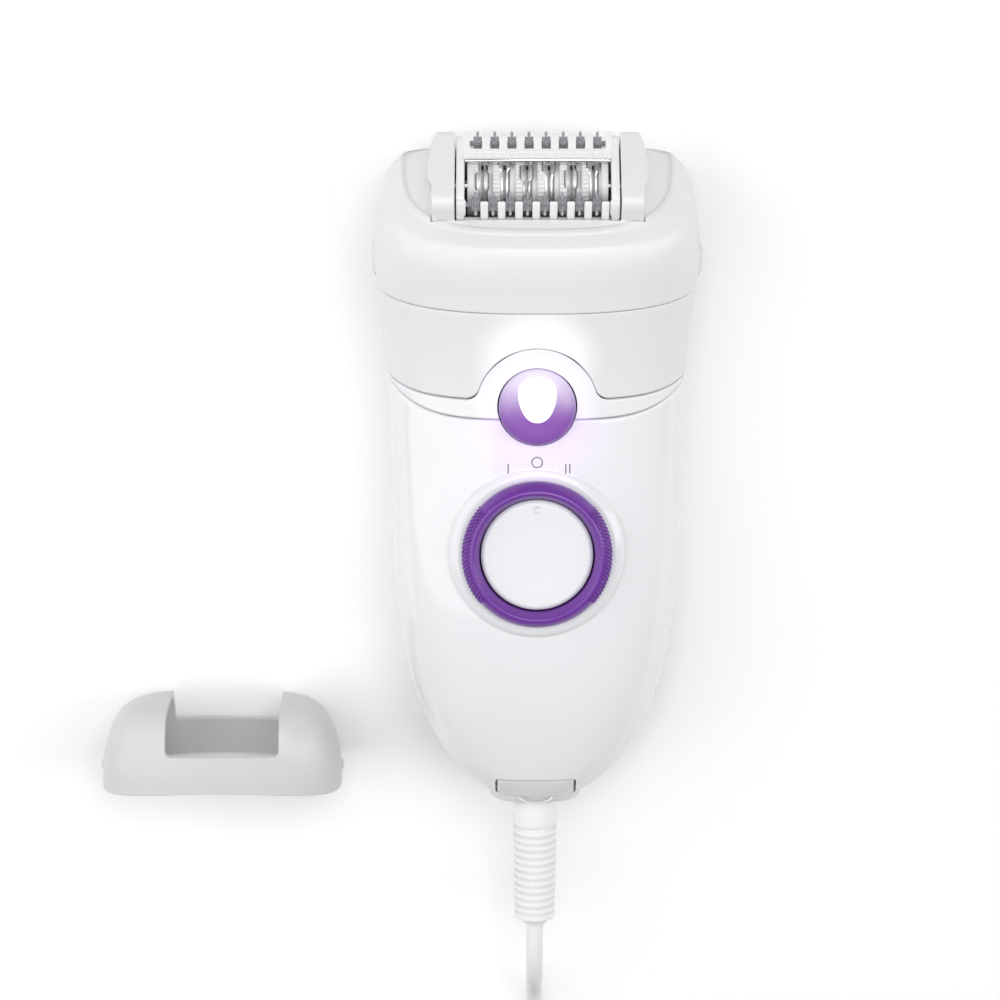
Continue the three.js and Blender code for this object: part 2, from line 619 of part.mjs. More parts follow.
function buildButtons() {
  const outer = loft(HEAD_RINGS.map((r) => headRing(r, -0.1)));
  const inner = loft(HEAD_RINGS.map((r) => headRing(r, 1.7)));
  [["left", -1], ["right", 1]].forEach(([name, side]) => {
    const plate = cut(outer, [inner]).intersect(buttonBlock(0).translate([side * 30, 0, 0]));
    const ribs = Array.from({ length: BUTTON.ribs }, (_, i) => {
      const station = BUTTON.station + (i - (BUTTON.ribs - 1) / 2) * BUTTON.pitch;
      return rodZ(side * 32.7, station, 0.5, SPLIT_Z - 4.4, SPLIT_Z + 4.4, 10);
    });
    add(`release_button_${name}`, join([plate, ...ribs]), satinWhite, head);
  });
}

const head = new THREE.Group();
root.add(head);

// The cassette's own frame: its y is up the back of the tilted face, and its z is straight out of it.
const cassette = new THREE.Group();
cassette.position.set(0, CASSETTE.y, CASSETTE.z);
cassette.rotation.x = TILT - Math.PI / 2;
head.add(cassette);
cassette.updateMatrixWorld(true);

const POD_TOP = 142.5; // station that the side pods reach, past the rounding of their corners
const SIDE = { inner: 17.2, outer: 22.9, front: -9.9, back: 9.3, top: 8 };

// The outline of the side pods and end plates, in the cassette's y and z, grown or shrunk by an inset.
function podOutline(inset, foot) {
  const front = SIDE.front + inset;
  const back = SIDE.back - inset;
  const top = SIDE.top - inset;
  const bend = 2.6;
  const corner = (cy, cz, from) =>
    Array.from({ length: 4 }, (_, i) => {
      const angle = ((from - i * 30) * Math.PI) / 180;
      return [cy + bend * Math.cos(angle), cz + bend * Math.sin(angle)];
    });
  return outline(
    [[front, foot / 2], ...corner(front + bend, top - bend, 180), ...corner(back - bend, top - bend, 90), [back, foot]]
      .reverse(),
  );
}

function inHeadFrame(made) {
  return solid(geometryOf(made).applyMatrix4(cassette.matrix));
}

function buildHeadTop() {
  const rim = HEAD_RINGS.at(-1);
  const inset = 0.8 + GAP;
  const [station, width, back, front, lean, squareness] = rim;
  const crowned = ring(station + 1.5, width - inset - 5, back + inset + 5, front - inset - 4, lean, squareness);
  const slab = loft([headRing(rim, inset, -2.6), headRing(rim, inset, -0.3), headRing(rim, inset + 0.5, 0.2), crowned]);
  const pods = [-1, 1].map((side) => pod(side, 0, SIDE.inner, SIDE.outer));
  const hollows = [-1, 1].map((side) => pod(side, 1, SIDE.inner - 1, SIDE.outer - 1));
  const well = inHeadFrame(box(-SIDE.inner, SIDE.inner, SIDE.front, SIDE.back - 0.3, -30, 30));
  const capHoles = [-1, 1].map((side) =>
    rodX(0, 0, 0.9, side * 22.4 - 1.5, side * 22.4 + 1.5, 10).translate([0, 123.2, 33.4]),
  );
  add("head_top", cut(join([slab, ...pods]), [well, ...hollows, ...capHoles]), satinWhite, head);
}

// A side pod, or with an inset its hollow: the side outline met by the rounded front view.
function pod(side, inset, from, to) {
  const [x0, x1] = side < 0 ? [-to, -from] : [from, to];
  const body = inHeadFrame(alongX(podOutline(inset, inset ? -16 : -9), x0, x1));
  const top = POD_TOP - inset;
  const outer = SIDE.outer - inset;
  const arc = Array.from({ length: 7 }, (_, i) => {
    const angle = (i * 15 * Math.PI) / 180;
    return [outer - 4.4 + 4.4 * Math.cos(angle), top - 15 + 15 * Math.sin(angle)];
  });
  const view = [[15, 100], [outer, 100], ...arc, [15, top]].map(([x, y]) => [side * x, y]);
  return body.intersect(alongZ(outline(side < 0 ? view.reverse() : view), -10, 60));
}

const PLATE = { inner: 15.2, outer: 16.9 };

function buildCassette() {
  const plates = [-1, 1].map((side) => {
    const [x0, x1] = side < 0 ? [-PLATE.outer, -PLATE.inner] : [PLATE.inner, PLATE.outer];
    return alongX(podOutline(0.5, -7), x0, x1);
  });
  const bars = [
    box(-PLATE.inner, PLATE.inner, -9.2, -7.9, -1.4, 1.3), // the front comb's base
    box(-PLATE.inner, PLATE.inner, 1.7, 4.1, 6.9, 7.7), // the strip beside the guide bar
    box(-PLATE.inner, PLATE.inner, 7.8, 8.6, -6, 1.5), // the back wall
  ];
  const frontFingers = Array.from({ length: 8 }, (_, i) => {
    const x = (i - 3.1) * COMB_PITCH;
    return box(x - 0.75, x + 0.75, -9.4, -8.4, 0, 7.2);
  });
  const backFingers = Array.from({ length: 7 }, (_, i) => {
    const x = (i - 3) * COMB_PITCH;
    return box(x - 0.8, x + 0.8, 4, 8.3, 6.6, 7.7);
  });
  const shafts = [
    rodX(0, DRUM.lift, 1.3, -20, 20),
    rodX(FRONT_ROLLER.y, FRONT_ROLLER.z, ROLLER.shaft + 0.25, -20, 20, 10),
    rodX(REAR_ROLLER.y, REAR_ROLLER.z, ROLLER.shaft + 0.25, -20, 20, 10),
  ];
  add("cassette_frame", cut(join([...plates, ...bars, ...frontFingers, ...backFingers]), shafts), glossWhite, cassette);
  const bar = rodX(1.05, 7.75, 0.45, -PLATE.inner + 0.2, PLATE.inner - 0.2, 10);
  add("guide_bar", bar, chrome, cassette);
}

const FRONT_ROLLER = { y: -7.35, z: 4.5 };
const REAR_ROLLER = { y: 6.9, z: 5.6 };

// A massage roller: star wheels on a thin shaft, turning between the comb's fingers.
function buildRollers() {
  const star = Array.from({ length: 14 }, (_, i) => {
    const angle = (i * Math.PI) / 7;
    const radius = i % 2 ? ROLLER.root : ROLLER.radius;
    return [radius * Math.cos(angle), radius * Math.sin(angle)];
  });
  const roller = (name, place, shift) => {
    const shaft = rodX(0, 0, ROLLER.shaft, -16.4, 16.4, 10);
    const wheels = Array.from({ length: ROLLER.wheels }, (_, i) => {
      const x = (i - 3.5 + shift) * COMB_PITCH;
      return alongX(outline(star), x - ROLLER.width / 2, x + ROLLER.width / 2);
    });
    add(name, join([shaft, ...wheels]).translate([0, place.y, place.z]), smokePlastic, cassette);
  };
  roller("front_massage_roller", FRONT_ROLLER, -0.1);
  roller("rear_massage_roller", REAR_ROLLER, 0);
}

const RODS = { radius: 4.4, size: 0.5, angles: [45, 225] };
const unitX = (index) => (index - (DRUM.units - 1) / 2) * DRUM.pitch;

function rodPlace(index) {
  const angle = (RODS.angles[index] * Math.PI) / 180;
  return [RODS.radius * Math.cos(angle), RODS.radius * Math.sin(angle)];
}

// The tweezer drum: a hub with a ribbed block for each pair of blades, turning on a steel shaft.
function buildDrum() {
  const hub = rodX(0, 0, DRUM.hub, -DRUM.halfLength, DRUM.halfLength, 16);
  const blocks = Array.from({ length: DRUM.units }, (_, i) => {
    const x = unitX(i) - 1.6;
    return alongX(outline(circlePoints(0, 0, 5.7, 16)), x - 0.75, x + 0.75);
  });
  const ends = [-1, 1].map((side) => {
    const x = side * (DRUM.halfLength - 0.7);
    return alongX(outline(circlePoints(0, 0, 5.9, 16)), x - 0.7, x + 0.7);
  });
  const bores = [0, 1].map((i) => rodX(...rodPlace(i), RODS.size + 0.3, -20, 20, 8));
  const core = cut(join([hub, ...blocks, ...ends]), [rodX(0, 0, 1.2, -20, 20, 12), ...bores]);
  add("drum_core", core.translate([0, 0, DRUM.lift]), innerPlastic, cassette);
  const shaft = rodX(0, 0, AXLE_RADIUS, -21.6, 17.4, 12);
  add("drum_shaft", shaft.translate([0, 0, DRUM.lift]), steel, cassette);
  add("drum_gear", spurGear("drum", AXLE_RADIUS + 0.2), gearPlastic, head);
}

// A tweezer blade: a thin disc with two tips, pierced for the hub and for the clamping rods.
function bladeSolid(index, x0, x1) {
  const tips = index % 2 ? 90 : 0;
  const rim = Array.from({ length: 16 }, (_, i) => {
    const angle = (i + 0.5) * 22.5;
    const fromTip = 90 - Math.abs(((angle - tips + 360) % 180) - 90);
    const radius = fromTip < 25 ? DRUM.radius : 5.3;
    return [radius * Math.cos((angle * Math.PI) / 180), radius * Math.sin((angle * Math.PI) / 180)];
  });
  const holes = [[0, 0, DRUM.hub + 0.25], ...[0, 1].map((k) => [...rodPlace(k), RODS.size + 0.22])];
  return alongX(outline(rim, holes, 8), x0, x1).translate([0, 0, DRUM.lift]);
}

function buildBlades() {
  for (let i = 0; i < DRUM.units; i++) {
    const x = unitX(i);
    add(`fixed_blade_${i + 1}`, bladeSolid(i, x - 0.75, x - 0.4), steel, cassette);
    add(`moving_blade_${i + 1}`, bladeSolid(i, x + 0.35, x + 0.7), steel, cassette);
  }
  ["a", "b"].forEach((name, i) => {
    const [y, z] = rodPlace(i);
    const rod = rodX(y, z + DRUM.lift, RODS.size, -13.2, 13.2, 10);
    add(`clamp_rod_${name}`, rod, steel, cassette);
  });
}

function buildHeadDrive() {
  add("head_gear", spurGear("headIdler", AXLE_RADIUS + 0.2), gearPlastic, head);
  const web = box(-16.6, -14, 114, 124, 4, 24.5);
  const inner = loft([headRing(HEAD_RINGS[0], WALL + GAP, -3), ...HEAD_RINGS.slice(0, 4).map((r) => headRing(r, WALL + GAP))]);
  const post = rodX(axes.headIdler.y, axes.headIdler.z, AXLE_RADIUS, GEAR_X.from - 0.6, -16, 12);
  add("head_bracket", web.intersect(inner).add(post), innerPlastic, head);
}

// ---- The contact cap --------------------------------------------------------------------------------

function buildCap() {
  const { halfWidth: w, depth, base, windowHalf, sill, top, wall } = CAP;
  const middle = depth / 2;
  const capRing = (station, width, half) =>
    Array.from({ length: RING_SIDES }, (_, i) => {
      const angle = (2 * Math.PI * i) / RING_SIDES;
      const bent = (v) => Math.sign(v) * Math.abs(v) ** 0.7;
      const x = width * bent(Math.cos(angle));
      const z = middle + half * bent(Math.sin(angle));
      const saddle = station < 3 ? 2.2 * (1 - (x / w) ** 2) : 0;
      return new THREE.Vector3(x, station + saddle, z);
    });
  const outer = loft([
    capRing(base, w, middle),
    capRing(7, w - 0.3, middle - 0.2),
    capRing(12, w - 1.4, middle - 0.9),
    capRing(15.5, w - 3.6, middle - 2.4),
    capRing(17.6, w - 6.6, middle - 4.4),
    capRing(top, w - 10, middle - 6.6),
  ]);
  const inner = loft([
    capRing(base - 4, w - wall, middle - wall),
    capRing(3, w - wall, middle - wall),
    capRing(11.6, w - wall - 1.4, middle - wall - 0.8),
    capRing(14.8, w - wall - 3.8, middle - wall - 2.3),
    capRing(top - wall, w - wall - 9, middle - wall - 5.6),
  ]);
  const window = box(-windowHalf, windowHalf, sill, top + 5, -5, depth + 5);
  const nubs = [-1, 1].map((side) =>
    turned([[0, 0], [1.4, 0], [1, 0.8], [0, 0.9]], 12)
      .rotate([0, side * 90, 0])
      .translate([side * (w - 0.5), 5, middle]),
  );
  const table = box(-60, 60, -10, 40, -10, 0);
  add("contact_cap", cut(join([cut(outer, [inner, window]), ...nubs]), [table]).translate([CAP.x, CAP.station, 0]), satinWhite);
}

// ---- The cord set -----------------------------------------------------------------------------------

// Points that the cord's middle passes through: out of the strain relief, and down to the table.
const LEAD = [
  [0, -RELIEF_LENGTH, CORD_Z],
  [0, -37, 16.2],
  [0, -43, 12.6],
  [0, -49, 7.4],
  [0, -55.5, 3.2],
  [0, -62, 1.9],
  [0, -70, 1.85],
  [0, -77, 1.85],
];
// From the top of the coil to the adapter.
const TAIL = [
  [-58.2, -92, 12.6],
  [-58.4, -81, 12.3],
  [-61.5, -70.5, 12],
  [-68.6, -63.6, 12.2],
  [-77, -62.6, 12.7],
  [-83, -66.6, 13],
  [-84, -73.3, 13],
];

function tube(points, sides, steps) {
  const curve = new THREE.CatmullRomCurve3(points.map((p) => new THREE.Vector3(...p)), false, "centripetal");
  const section = new THREE.Shape(circlePoints(0, 0, CORD_RADIUS, sides).map(([u, v]) => new THREE.Vector2(u, v)));
  return solid(new THREE.ExtrudeGeometry(section, { steps, bevelEnabled: false, extrudePath: curve }));
}

function buildCord() {
  const plug = turnedY([[0, -1.5], [4.9, -1.5], [4.9, 4], [4.1, 4.4], [4.1, 14.6], [0, 14.6]], CORD_Z);
  const sockets = [-1, 1].map((side) => pinY(side * 1.9, 0.95, 6, 16));
  add("connector_body", cut(plug, sockets), cordWhite);

  const ribs = Array.from({ length: 13 }, (_, i) => -9 - i * 1.62);
  const waist = (station) => 4.2 + 0.6 * ((station + RELIEF_LENGTH) / RELIEF_LENGTH);
  const profile = [[0, -1.8], [4.6, -1.8], [4.7, -7.4]];
  for (const station of ribs) {
    const radius = waist(station);
    profile.push([radius - 0.6, station + 0.5], [radius, station + 0.2], [radius, station - 0.7]);
  }
  profile.push([2.6, -RELIEF_LENGTH + 0.3], [0, -RELIEF_LENGTH + 0.3]);
  add("strain_relief", turnedY(profile.reverse(), CORD_Z, 16), cordWhite);

  add("cord_lead", tube(LEAD, 8, 20), cordWhite);
  const { x, station, inner, outer, height } = COIL;
  const bend = 3;
  const coil = turned([[inner, bend], [inner + bend, 0], [outer - bend, 0], [outer, bend], [outer, height - bend],
    [outer - bend, height], [inner + bend, height], [inner, height - bend], [inner, bend]], 32);
  add("cord_coil", coil.translate([x, station, 0]), cordWhite);
  add("cord_tail", tube(TAIL, 8, 14), cordWhite);
}

function buildAdapter() {
  const { x, from, length, width, height, pinRadius, pinSpacing } = ADAPTER;
  const to = from + length;
  const section = (station, inset) => {
    const bend = 4;
    const corners = [[1, 1, 0], [-1, 1, 90], [-1, -1, 180], [1, -1, 270]];
    return corners.flatMap(([sx, sz, start]) =>
      [0, 30, 60, 90].map((turn) => {
        const angle = ((start + turn) * Math.PI) / 180;
        const cx = sx * (width / 2 - inset - bend) + bend * Math.cos(angle);
        const cz = height / 2 + sz * (height / 2 - inset - bend) + bend * Math.sin(angle);
        return new THREE.Vector3(x + cx, station, cz);
      }),
    );
  };
  const body = loft([section(from, 1.6), section(from + 1.6, 0), section(to - 3, 0), section(to, 2)]);
  const relief = turnedY([[0, -1], [3.4, -1], [2.6, 2.4], [0, 2.4]], height / 2, 16).translate([x, to, 0]);
  const holes = [-1, 1].map((side) => adapterPin(side, pinRadius + 0.3, from - 1, from + 5));
  add("adapter_body", cut(body.add(relief), holes), cordWhite);
  [["left", -1], ["right", 1]].forEach(([name, side]) => {
    const pin = adapterPin(side, pinRadius, from - ADAPTER_PIN_LENGTH, from + 4.6);
    add(`adapter_pin_${name}`, pin, brass);
  });

  function adapterPin(side, radius, start, end) {
    return turnedY([[0, start], [radius * 0.7, start], [radius, start + 0.8], [radius, end], [0, end]], height / 2, 14)
      .translate([x + (side * pinSpacing) / 2, 0, 0]);
  }
}

// ---- The whole epilator -----------------------------------------------------------------------------

buildShells();
buildScrews();
buildLamp();
buildSocket();
buildKnob();
buildMotor();
buildGears();
buildChassis();
buildElectronics();
buildHeadShell();
buildButtons();
buildHeadTop();
buildCassette();
buildRollers();
buildDrum();
buildBlades();
buildHeadDrive();
buildCap();
buildCord();
buildAdapter();

export default root;
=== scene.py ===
import math

import bmesh
import bpy
from bpy.props import FloatProperty, FloatVectorProperty, IntProperty, PointerProperty
from bpy.types import Operator, Panel, PropertyGroup
from mathutils import Matrix, Vector


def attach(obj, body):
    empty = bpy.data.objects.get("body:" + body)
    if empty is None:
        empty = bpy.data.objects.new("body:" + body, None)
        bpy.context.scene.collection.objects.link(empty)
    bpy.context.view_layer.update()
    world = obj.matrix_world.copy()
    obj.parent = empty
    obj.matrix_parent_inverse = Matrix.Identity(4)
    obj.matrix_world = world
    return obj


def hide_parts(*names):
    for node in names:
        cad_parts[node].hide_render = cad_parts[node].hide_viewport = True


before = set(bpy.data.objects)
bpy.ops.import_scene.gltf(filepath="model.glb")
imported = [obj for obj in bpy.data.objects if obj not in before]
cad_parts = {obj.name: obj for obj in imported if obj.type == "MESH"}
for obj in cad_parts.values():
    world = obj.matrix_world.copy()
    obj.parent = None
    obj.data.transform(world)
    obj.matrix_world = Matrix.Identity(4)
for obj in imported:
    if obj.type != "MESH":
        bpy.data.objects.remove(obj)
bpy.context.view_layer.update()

bl_info = {
    "name": "Corded epilator",
    "version": (1, 0, 0),
    "blender": (4, 5, 0),
    "location": "3D View > Sidebar > Epilator",
    "description": "Builds a corded epilator, its contact cap and its cord set around their packed frame",
    "category": "Object",
}

# ---- Sizes, in millimetres, with stations measured along the handle from its cord end ---------------

MM = 0.001
ORIGIN_STATION = 62.0
SEAM_STATION = 111.0
SEAM_LEAN = 0.2
HALF_WIDTH = 29.5
SPLIT_Z = 19.0
WALL = 1.8
NECK_START = 66.0
NECK_HALF = 30.1
SHELL_FOOT = 1.6
BACK_SEAM = 91.9
GAP = 0.3
SQUARENESS = 0.8
PANEL_TILT = math.radians(5)

KNOB = {"station": 58.0, "radius": 15.0, "disc": 11.3, "well": 11.9, "base": 36.1, "top": 41.7}
LAMP = {"station": 87.6, "radius": 8.0, "base": 32.3, "top": 37.1}
ARCH = {"station": 87.6, "radius": 12.2, "foot": 89.1, "fillet": 3.0, "rise": 2.8}
CORD_Z = 17.0

CASSETTE = {"y": 130.1, "z": 25.0, "tilt": math.radians(42), "narrowing": 0.95}
COMB_PITCH = 3.57
DRUM = {"lift": 0.8, "half": 14.6, "hub": 3.2, "units": 6, "pitch": 4.6}
FRONT_ROLLER = (-7.35, 4.5)
REAR_ROLLER = (6.9, 5.6)

CAP = {"x": -66.5, "station": -1.0, "half_width": 25.4, "depth": 27.0, "window": 11.9, "sill": 11.0, "top": 19.4}
COIL = {"x": -27.0, "station": -92.0}
ADAPTER = {"x": -84.0, "from": -122.0, "length": 46.0, "width": 33.0, "height": 26.0}
RELIEF_LENGTH = 31.0
BUTTON = {"room": (112.3, 118.9), "start": 112.6, "length": 6.0, "half": 5.5}
NOTCH = {"half": 8.4, "top": 6.4}

NECK_WIDTHS = [(66, 29.5), (88, 30.1), (98, 30.9), (108, 31.9), (112, 32.6)]
FRONT_HEIGHTS = [(0, 26), (4, 28.4), (12, 31.4), (26, 35), (42, 36.9), (58, 36.3), (75, 34.9), (89, 34.3),
                 (100, 35.6), (112, 38)]
BACK_HEIGHTS = [(0, 8), (4, 5.6), (12, 2.6), (26, 0.2), (40, -0.8), (98, -0.8), (112, 0)]


# ---- The handle's section ---------------------------------------------------------------------------


def smooth(knots, x):
    """The value at x of a smooth curve through (x, value) knots."""
    last = len(knots) - 1
    if x <= knots[0][0]:
        return knots[0][1]
    if x >= knots[last][0]:
        return knots[last][1]
    i = next(k for k, knot in enumerate(knots) if knot[0] > x) - 1

    def slope(k):
        low, high = knots[max(k - 1, 0)], knots[min(k + 1, last)]
        return (high[1] - low[1]) / (high[0] - low[0])

    span = knots[i + 1][0] - knots[i][0]
    t = (x - knots[i][0]) / span
    return (
        (2 * t**3 - 3 * t**2 + 1) * knots[i][1]
        + (t**3 - 2 * t**2 + t) * span * slope(i)
        + (3 * t**2 - 2 * t**3) * knots[i + 1][1]
        + (t**3 - t**2) * span * slope(i + 1)
    )


def half_width(station):
    if station >= NECK_START:
        return smooth(NECK_WIDTHS, station)
    left = 1 - max(station, 0) / NECK_START
    return HALF_WIDTH * (1 - left**2.6) ** 0.42


def bent(value, power):
    return math.copysign(abs(value) ** power, value)


def section_point(angle, station, width, back, front, slopes=(0, 0), squareness=SQUARENESS):
    """A point of a rounded rectangle across the handle, whose front and back halves may lean."""
    up = bent(math.sin(angle), squareness)
    z = SPLIT_Z + up * ((front - SPLIT_Z) if up > 0 else (SPLIT_Z - back))
    lean = slopes[0] if z > SPLIT_Z else slopes[1]
    return Vector((width * bent(math.cos(angle), squareness), station + lean * (SPLIT_Z - z), z))


def housing_point(angle, station, inset=0.0):
    point = section_point(
        angle,
        station,
        half_width(station) - inset,
        smooth(BACK_HEIGHTS, station) + inset,
        smooth(FRONT_HEIGHTS, station) - inset,
    )
    point.z = max(point.z, inset * 0.8)
    return point


HEAD_RINGS = [
    # station, half width, back, front, front slope, back slope, squareness
    (SEAM_STATION + 0.15, half_width(SEAM_STATION), -0.2, smooth(FRONT_HEIGHTS, SEAM_STATION), SEAM_LEAN, SEAM_LEAN,
     SQUARENESS),
    (115, 32.9, 0, 38.4, 0.22, 0.19, 0.78),
    (120, 32.7, 0.5, 39.2, 0.28, 0.13, 0.74),
    (125.4, 32.1, 1.4, 39.5, 0.38, 0.07, 0.69),
    (130, 31, 2.9, 39.2, 0.48, 0.03, 0.65),
    (133.2, 29.5, 4.6, 38.5, 0.6, 0, 0.63),
    (135.1, 27.7, 6.6, 37.2, 0.66, 0, 0.62),
]


def head_values(u):
    """The head's ring values between its named rings: whole numbers of u are the rings themselves."""
    return [smooth([(i, ring[k]) for i, ring in enumerate(HEAD_RINGS)], u) for k in range(7)]


def head_point(angle, u, inset=0.0, lift=0.0):
    station, width, back, front, front_slope, back_slope, squareness = head_values(u)
    point = section_point(
        angle, station + lift, width - inset, back + inset, front - inset, (front_slope, back_slope), squareness
    )
    point.z = max(point.z, inset * 0.8)
    return point


def band_edge(x):
    """Station of the lower edge of the collar band, at a distance across from the middle."""
    return 85 + 6.2 * min(abs(x) / NECK_HALF, 1) ** 5


def arch_edge(x):
    """Station of the neck's lower edge on the front: an arch over the lamp with a foot on each side."""
    x = abs(x)
    fillet_y = ARCH["foot"] + ARCH["fillet"]
    reach = ARCH["radius"] + ARCH["fillet"]
    fillet_x = math.sqrt(reach**2 - (fillet_y - ARCH["station"]) ** 2)
    meet = ARCH["radius"] * fillet_x / reach
    if x <= meet:
        return ARCH["station"] + math.sqrt(ARCH["radius"] ** 2 - x**2)
    if x < fillet_x:
        return fillet_y - math.sqrt(ARCH["fillet"] ** 2 - (x - fillet_x) ** 2)
    return ARCH["foot"] + ARCH["rise"] * min(x / NECK_HALF, 1) ** 6


def columns(start, end, count, fine=None):
    """Angles that share out the section's outline evenly between two angles, with a few close to each end."""
    samples = 1600
    lengths = [0.0]
    before = section_point(start, 0, 29.5, 0, 36)
    for i in range(1, samples + 1):
        here = section_point(start + (end - start) * i / samples, 0, 29.5, 0, 36)
        lengths.append(lengths[-1] + (here - before).length)
        before = here
    total = lengths[-1]
    wanted = [total * i / count for i in range(count + 1)]
    if fine:
        wanted = sorted(set(wanted) | set(fine) | {total - f for f in fine})
    angles = []
    k = 0
    for length in wanted:
        while k < samples - 1 and lengths[k + 1] < length:
            k += 1
        step = lengths[k + 1] - lengths[k]
        share = (length - lengths[k]) / step if step else 0
        angles.append(start + (end - start) * (k + min(max(share, 0), 1)) / samples)
    return angles


def dip(distance, radius=0.35):
    """How far a moulded edge has rounded away, at a distance from that edge."""
    if distance >= radius:
        return 0.0
    return radius - math.sqrt(max(radius**2 - (radius - distance) ** 2, 0))


EDGE_STEPS = (0.0, 0.05, 0.13, 0.24, 0.38)


# ---- Meshes -----------------------------------------------------------------------------------------


def seat(point):
    """A point in millimetres and stations, in the row frame and metres."""
    return Vector((point[0] * MM, (point[1] - ORIGIN_STATION) * MM, point[2] * MM))


def piece(name, points, faces, material, sharp=38.0, seated=False):
    """A mesh object with outward normals, smooth but for edges sharper than the given angle."""
    mesh = bpy.data.meshes.new(name)
    mesh.from_pydata([p if seated else seat(p) for p in points], [], faces)
    finish_mesh(mesh, sharp)
    thing = bpy.data.objects.new(name, mesh)
    bpy.context.scene.collection.objects.link(thing)
    mesh.materials.append(material)
    return thing


def finish_mesh(mesh, sharp=38.0):
    bm = bmesh.new()
    bm.from_mesh(mesh)
    bmesh.ops.remove_doubles(bm, verts=bm.verts, dist=1e-6)
    bmesh.ops.dissolve_degenerate(bm, edges=bm.edges, dist=1e-7)
    bmesh.ops.recalc_face_normals(bm, faces=bm.faces)
    limit = math.radians(sharp)
    for face in bm.faces:
        face.smooth = True
    for edge in bm.edges:
        edge.smooth = len(edge.link_faces) == 2 and edge.calc_face_angle(0.0) < limit
    bm.to_mesh(mesh)
    bm.free()
    mesh.update()


def closed_shell(outer, inner, wrap):
    """Points and faces of a wall between two grids of the same rows and columns."""
    rows, cols = len(outer), len(outer[0])
    points = [p for row in outer for p in row] + [p for row in inner for p in row]
    shift = rows * cols
    faces = []
    span = cols if wrap else cols - 1
    for r in range(rows - 1):
        for c in range(span):
            d = (c + 1) % cols
            a, b, e, f = r * cols + c, r * cols + d, (r + 1) * cols + d, (r + 1) * cols + c
            faces.append((a, b, e, f))
            faces.append((shift + f, shift + e, shift + b, shift + a))
    for c in range(span):
        d = (c + 1) % cols
        last = (rows - 1) * cols
        faces.append((d, c, shift + c, shift + d))
        faces.append((last + c, last + d, shift + last + d, shift + last + c))
    if not wrap:
        for r in range(rows - 1):
            a, b = r * cols, (r + 1) * cols
            faces.append((a, b, shift + b, shift + a))
            a, b = a + cols - 1, b + cols - 1
            faces.append((b, a, shift + a, shift + b))
    return points, faces


def skin(rings, loop=False, caps=False):
    """Points and faces over rings of equally many points, joined in a loop or capped at both ends."""
    rows, count = len(rings), len(rings[0])
    faces = []
    for r in range(rows if loop else rows - 1):
        n = (r + 1) % rows
        for c in range(count):
            d = (c + 1) % count
            faces.append((r * count + c, r * count + d, n * count + d, n * count + c))
    if caps:
        faces.append(tuple(range(count)))
        faces.append(tuple(range(rows * count - 1, (rows - 1) * count - 1, -1)))
    return [p for ring in rings for p in ring], faces


def hoop(radius, station, height, sides):
    """A ring of points across the handle's length, about an axis at a height."""
    turns = [math.tau * i / sides for i in range(sides)]
    return [Vector((radius * math.cos(a), station, height + radius * math.sin(a))) for a in turns]


def turned(profile, sides, closed=True):
    """Points and faces of a profile of (radius, height) turned about +Z."""
    points, faces, rings = [], [], []
    for radius, height in profile:
        if radius < 1e-6:
            rings.append([len(points)])
            points.append(Vector((0, 0, height)))
            continue
        rings.append(list(range(len(points), len(points) + sides)))
        for i in range(sides):
            angle = math.tau * i / sides
            points.append(Vector((radius * math.cos(angle), radius * math.sin(angle), height)))
    pairs = list(zip(rings, rings[1:]))
    if closed and len(rings[0]) > 1 and len(rings[-1]) > 1:
        pairs.append((rings[-1], rings[0]))
    for low, high in pairs:
        for i in range(sides):
            j = (i + 1) % sides
            corners = [low[i % len(low)], low[j % len(low)], high[j % len(high)], high[i % len(high)]]
            faces.append(tuple(dict.fromkeys(corners)))
    return points, [f for f in faces if len(f) > 2]


def rounded(profile, radius=0.3, steps=3):
    """A profile whose inner corners are rounded off by about a radius."""
    made = [profile[0]]
    for before, corner, after in zip(profile, profile[1:], profile[2:]):
        b, c, a = Vector(before), Vector(corner), Vector(after)
        reach = min(radius, (b - c).length * 0.45, (a - c).length * 0.45)
        start, end = c + (b - c).normalized() * reach, c + (a - c).normalized() * reach
        for i in range(steps + 1):
            t = i / steps
            made.append(tuple((1 - t) ** 2 * start + 2 * t * (1 - t) * c + t**2 * end))
    return made + [profile[-1]]


def merged(parts):
    """Points and faces of several point and face lists."""
    points, faces = [], []
    for more_points, more_faces in parts:
        shift = len(points)
        points += list(more_points)
        faces += [tuple(i + shift for i in face) for face in more_faces]
    return points, faces


def moved(part, matrix):
    return [matrix @ Vector(p) for p in part[0]], part[1]


def block(x0, x1, y0, y1, z0, z1, bevel=0.2, segments=2):
    """Points and faces of a box with rounded edges."""
    bm = bmesh.new()
    bmesh.ops.create_cube(bm, size=1)
    for v in bm.verts:
        v.co = Vector((x0 if v.co.x < 0 else x1, y0 if v.co.y < 0 else y1, z0 if v.co.z < 0 else z1))
    bmesh.ops.bevel(bm, geom=bm.edges[:], offset=bevel, segments=segments, profile=0.5, affect="EDGES")
    points = [v.co.copy() for v in bm.verts]
    bm.verts.index_update()
    faces = [tuple(v.index for v in f.verts) for f in bm.faces]
    bm.free()
    return points, faces


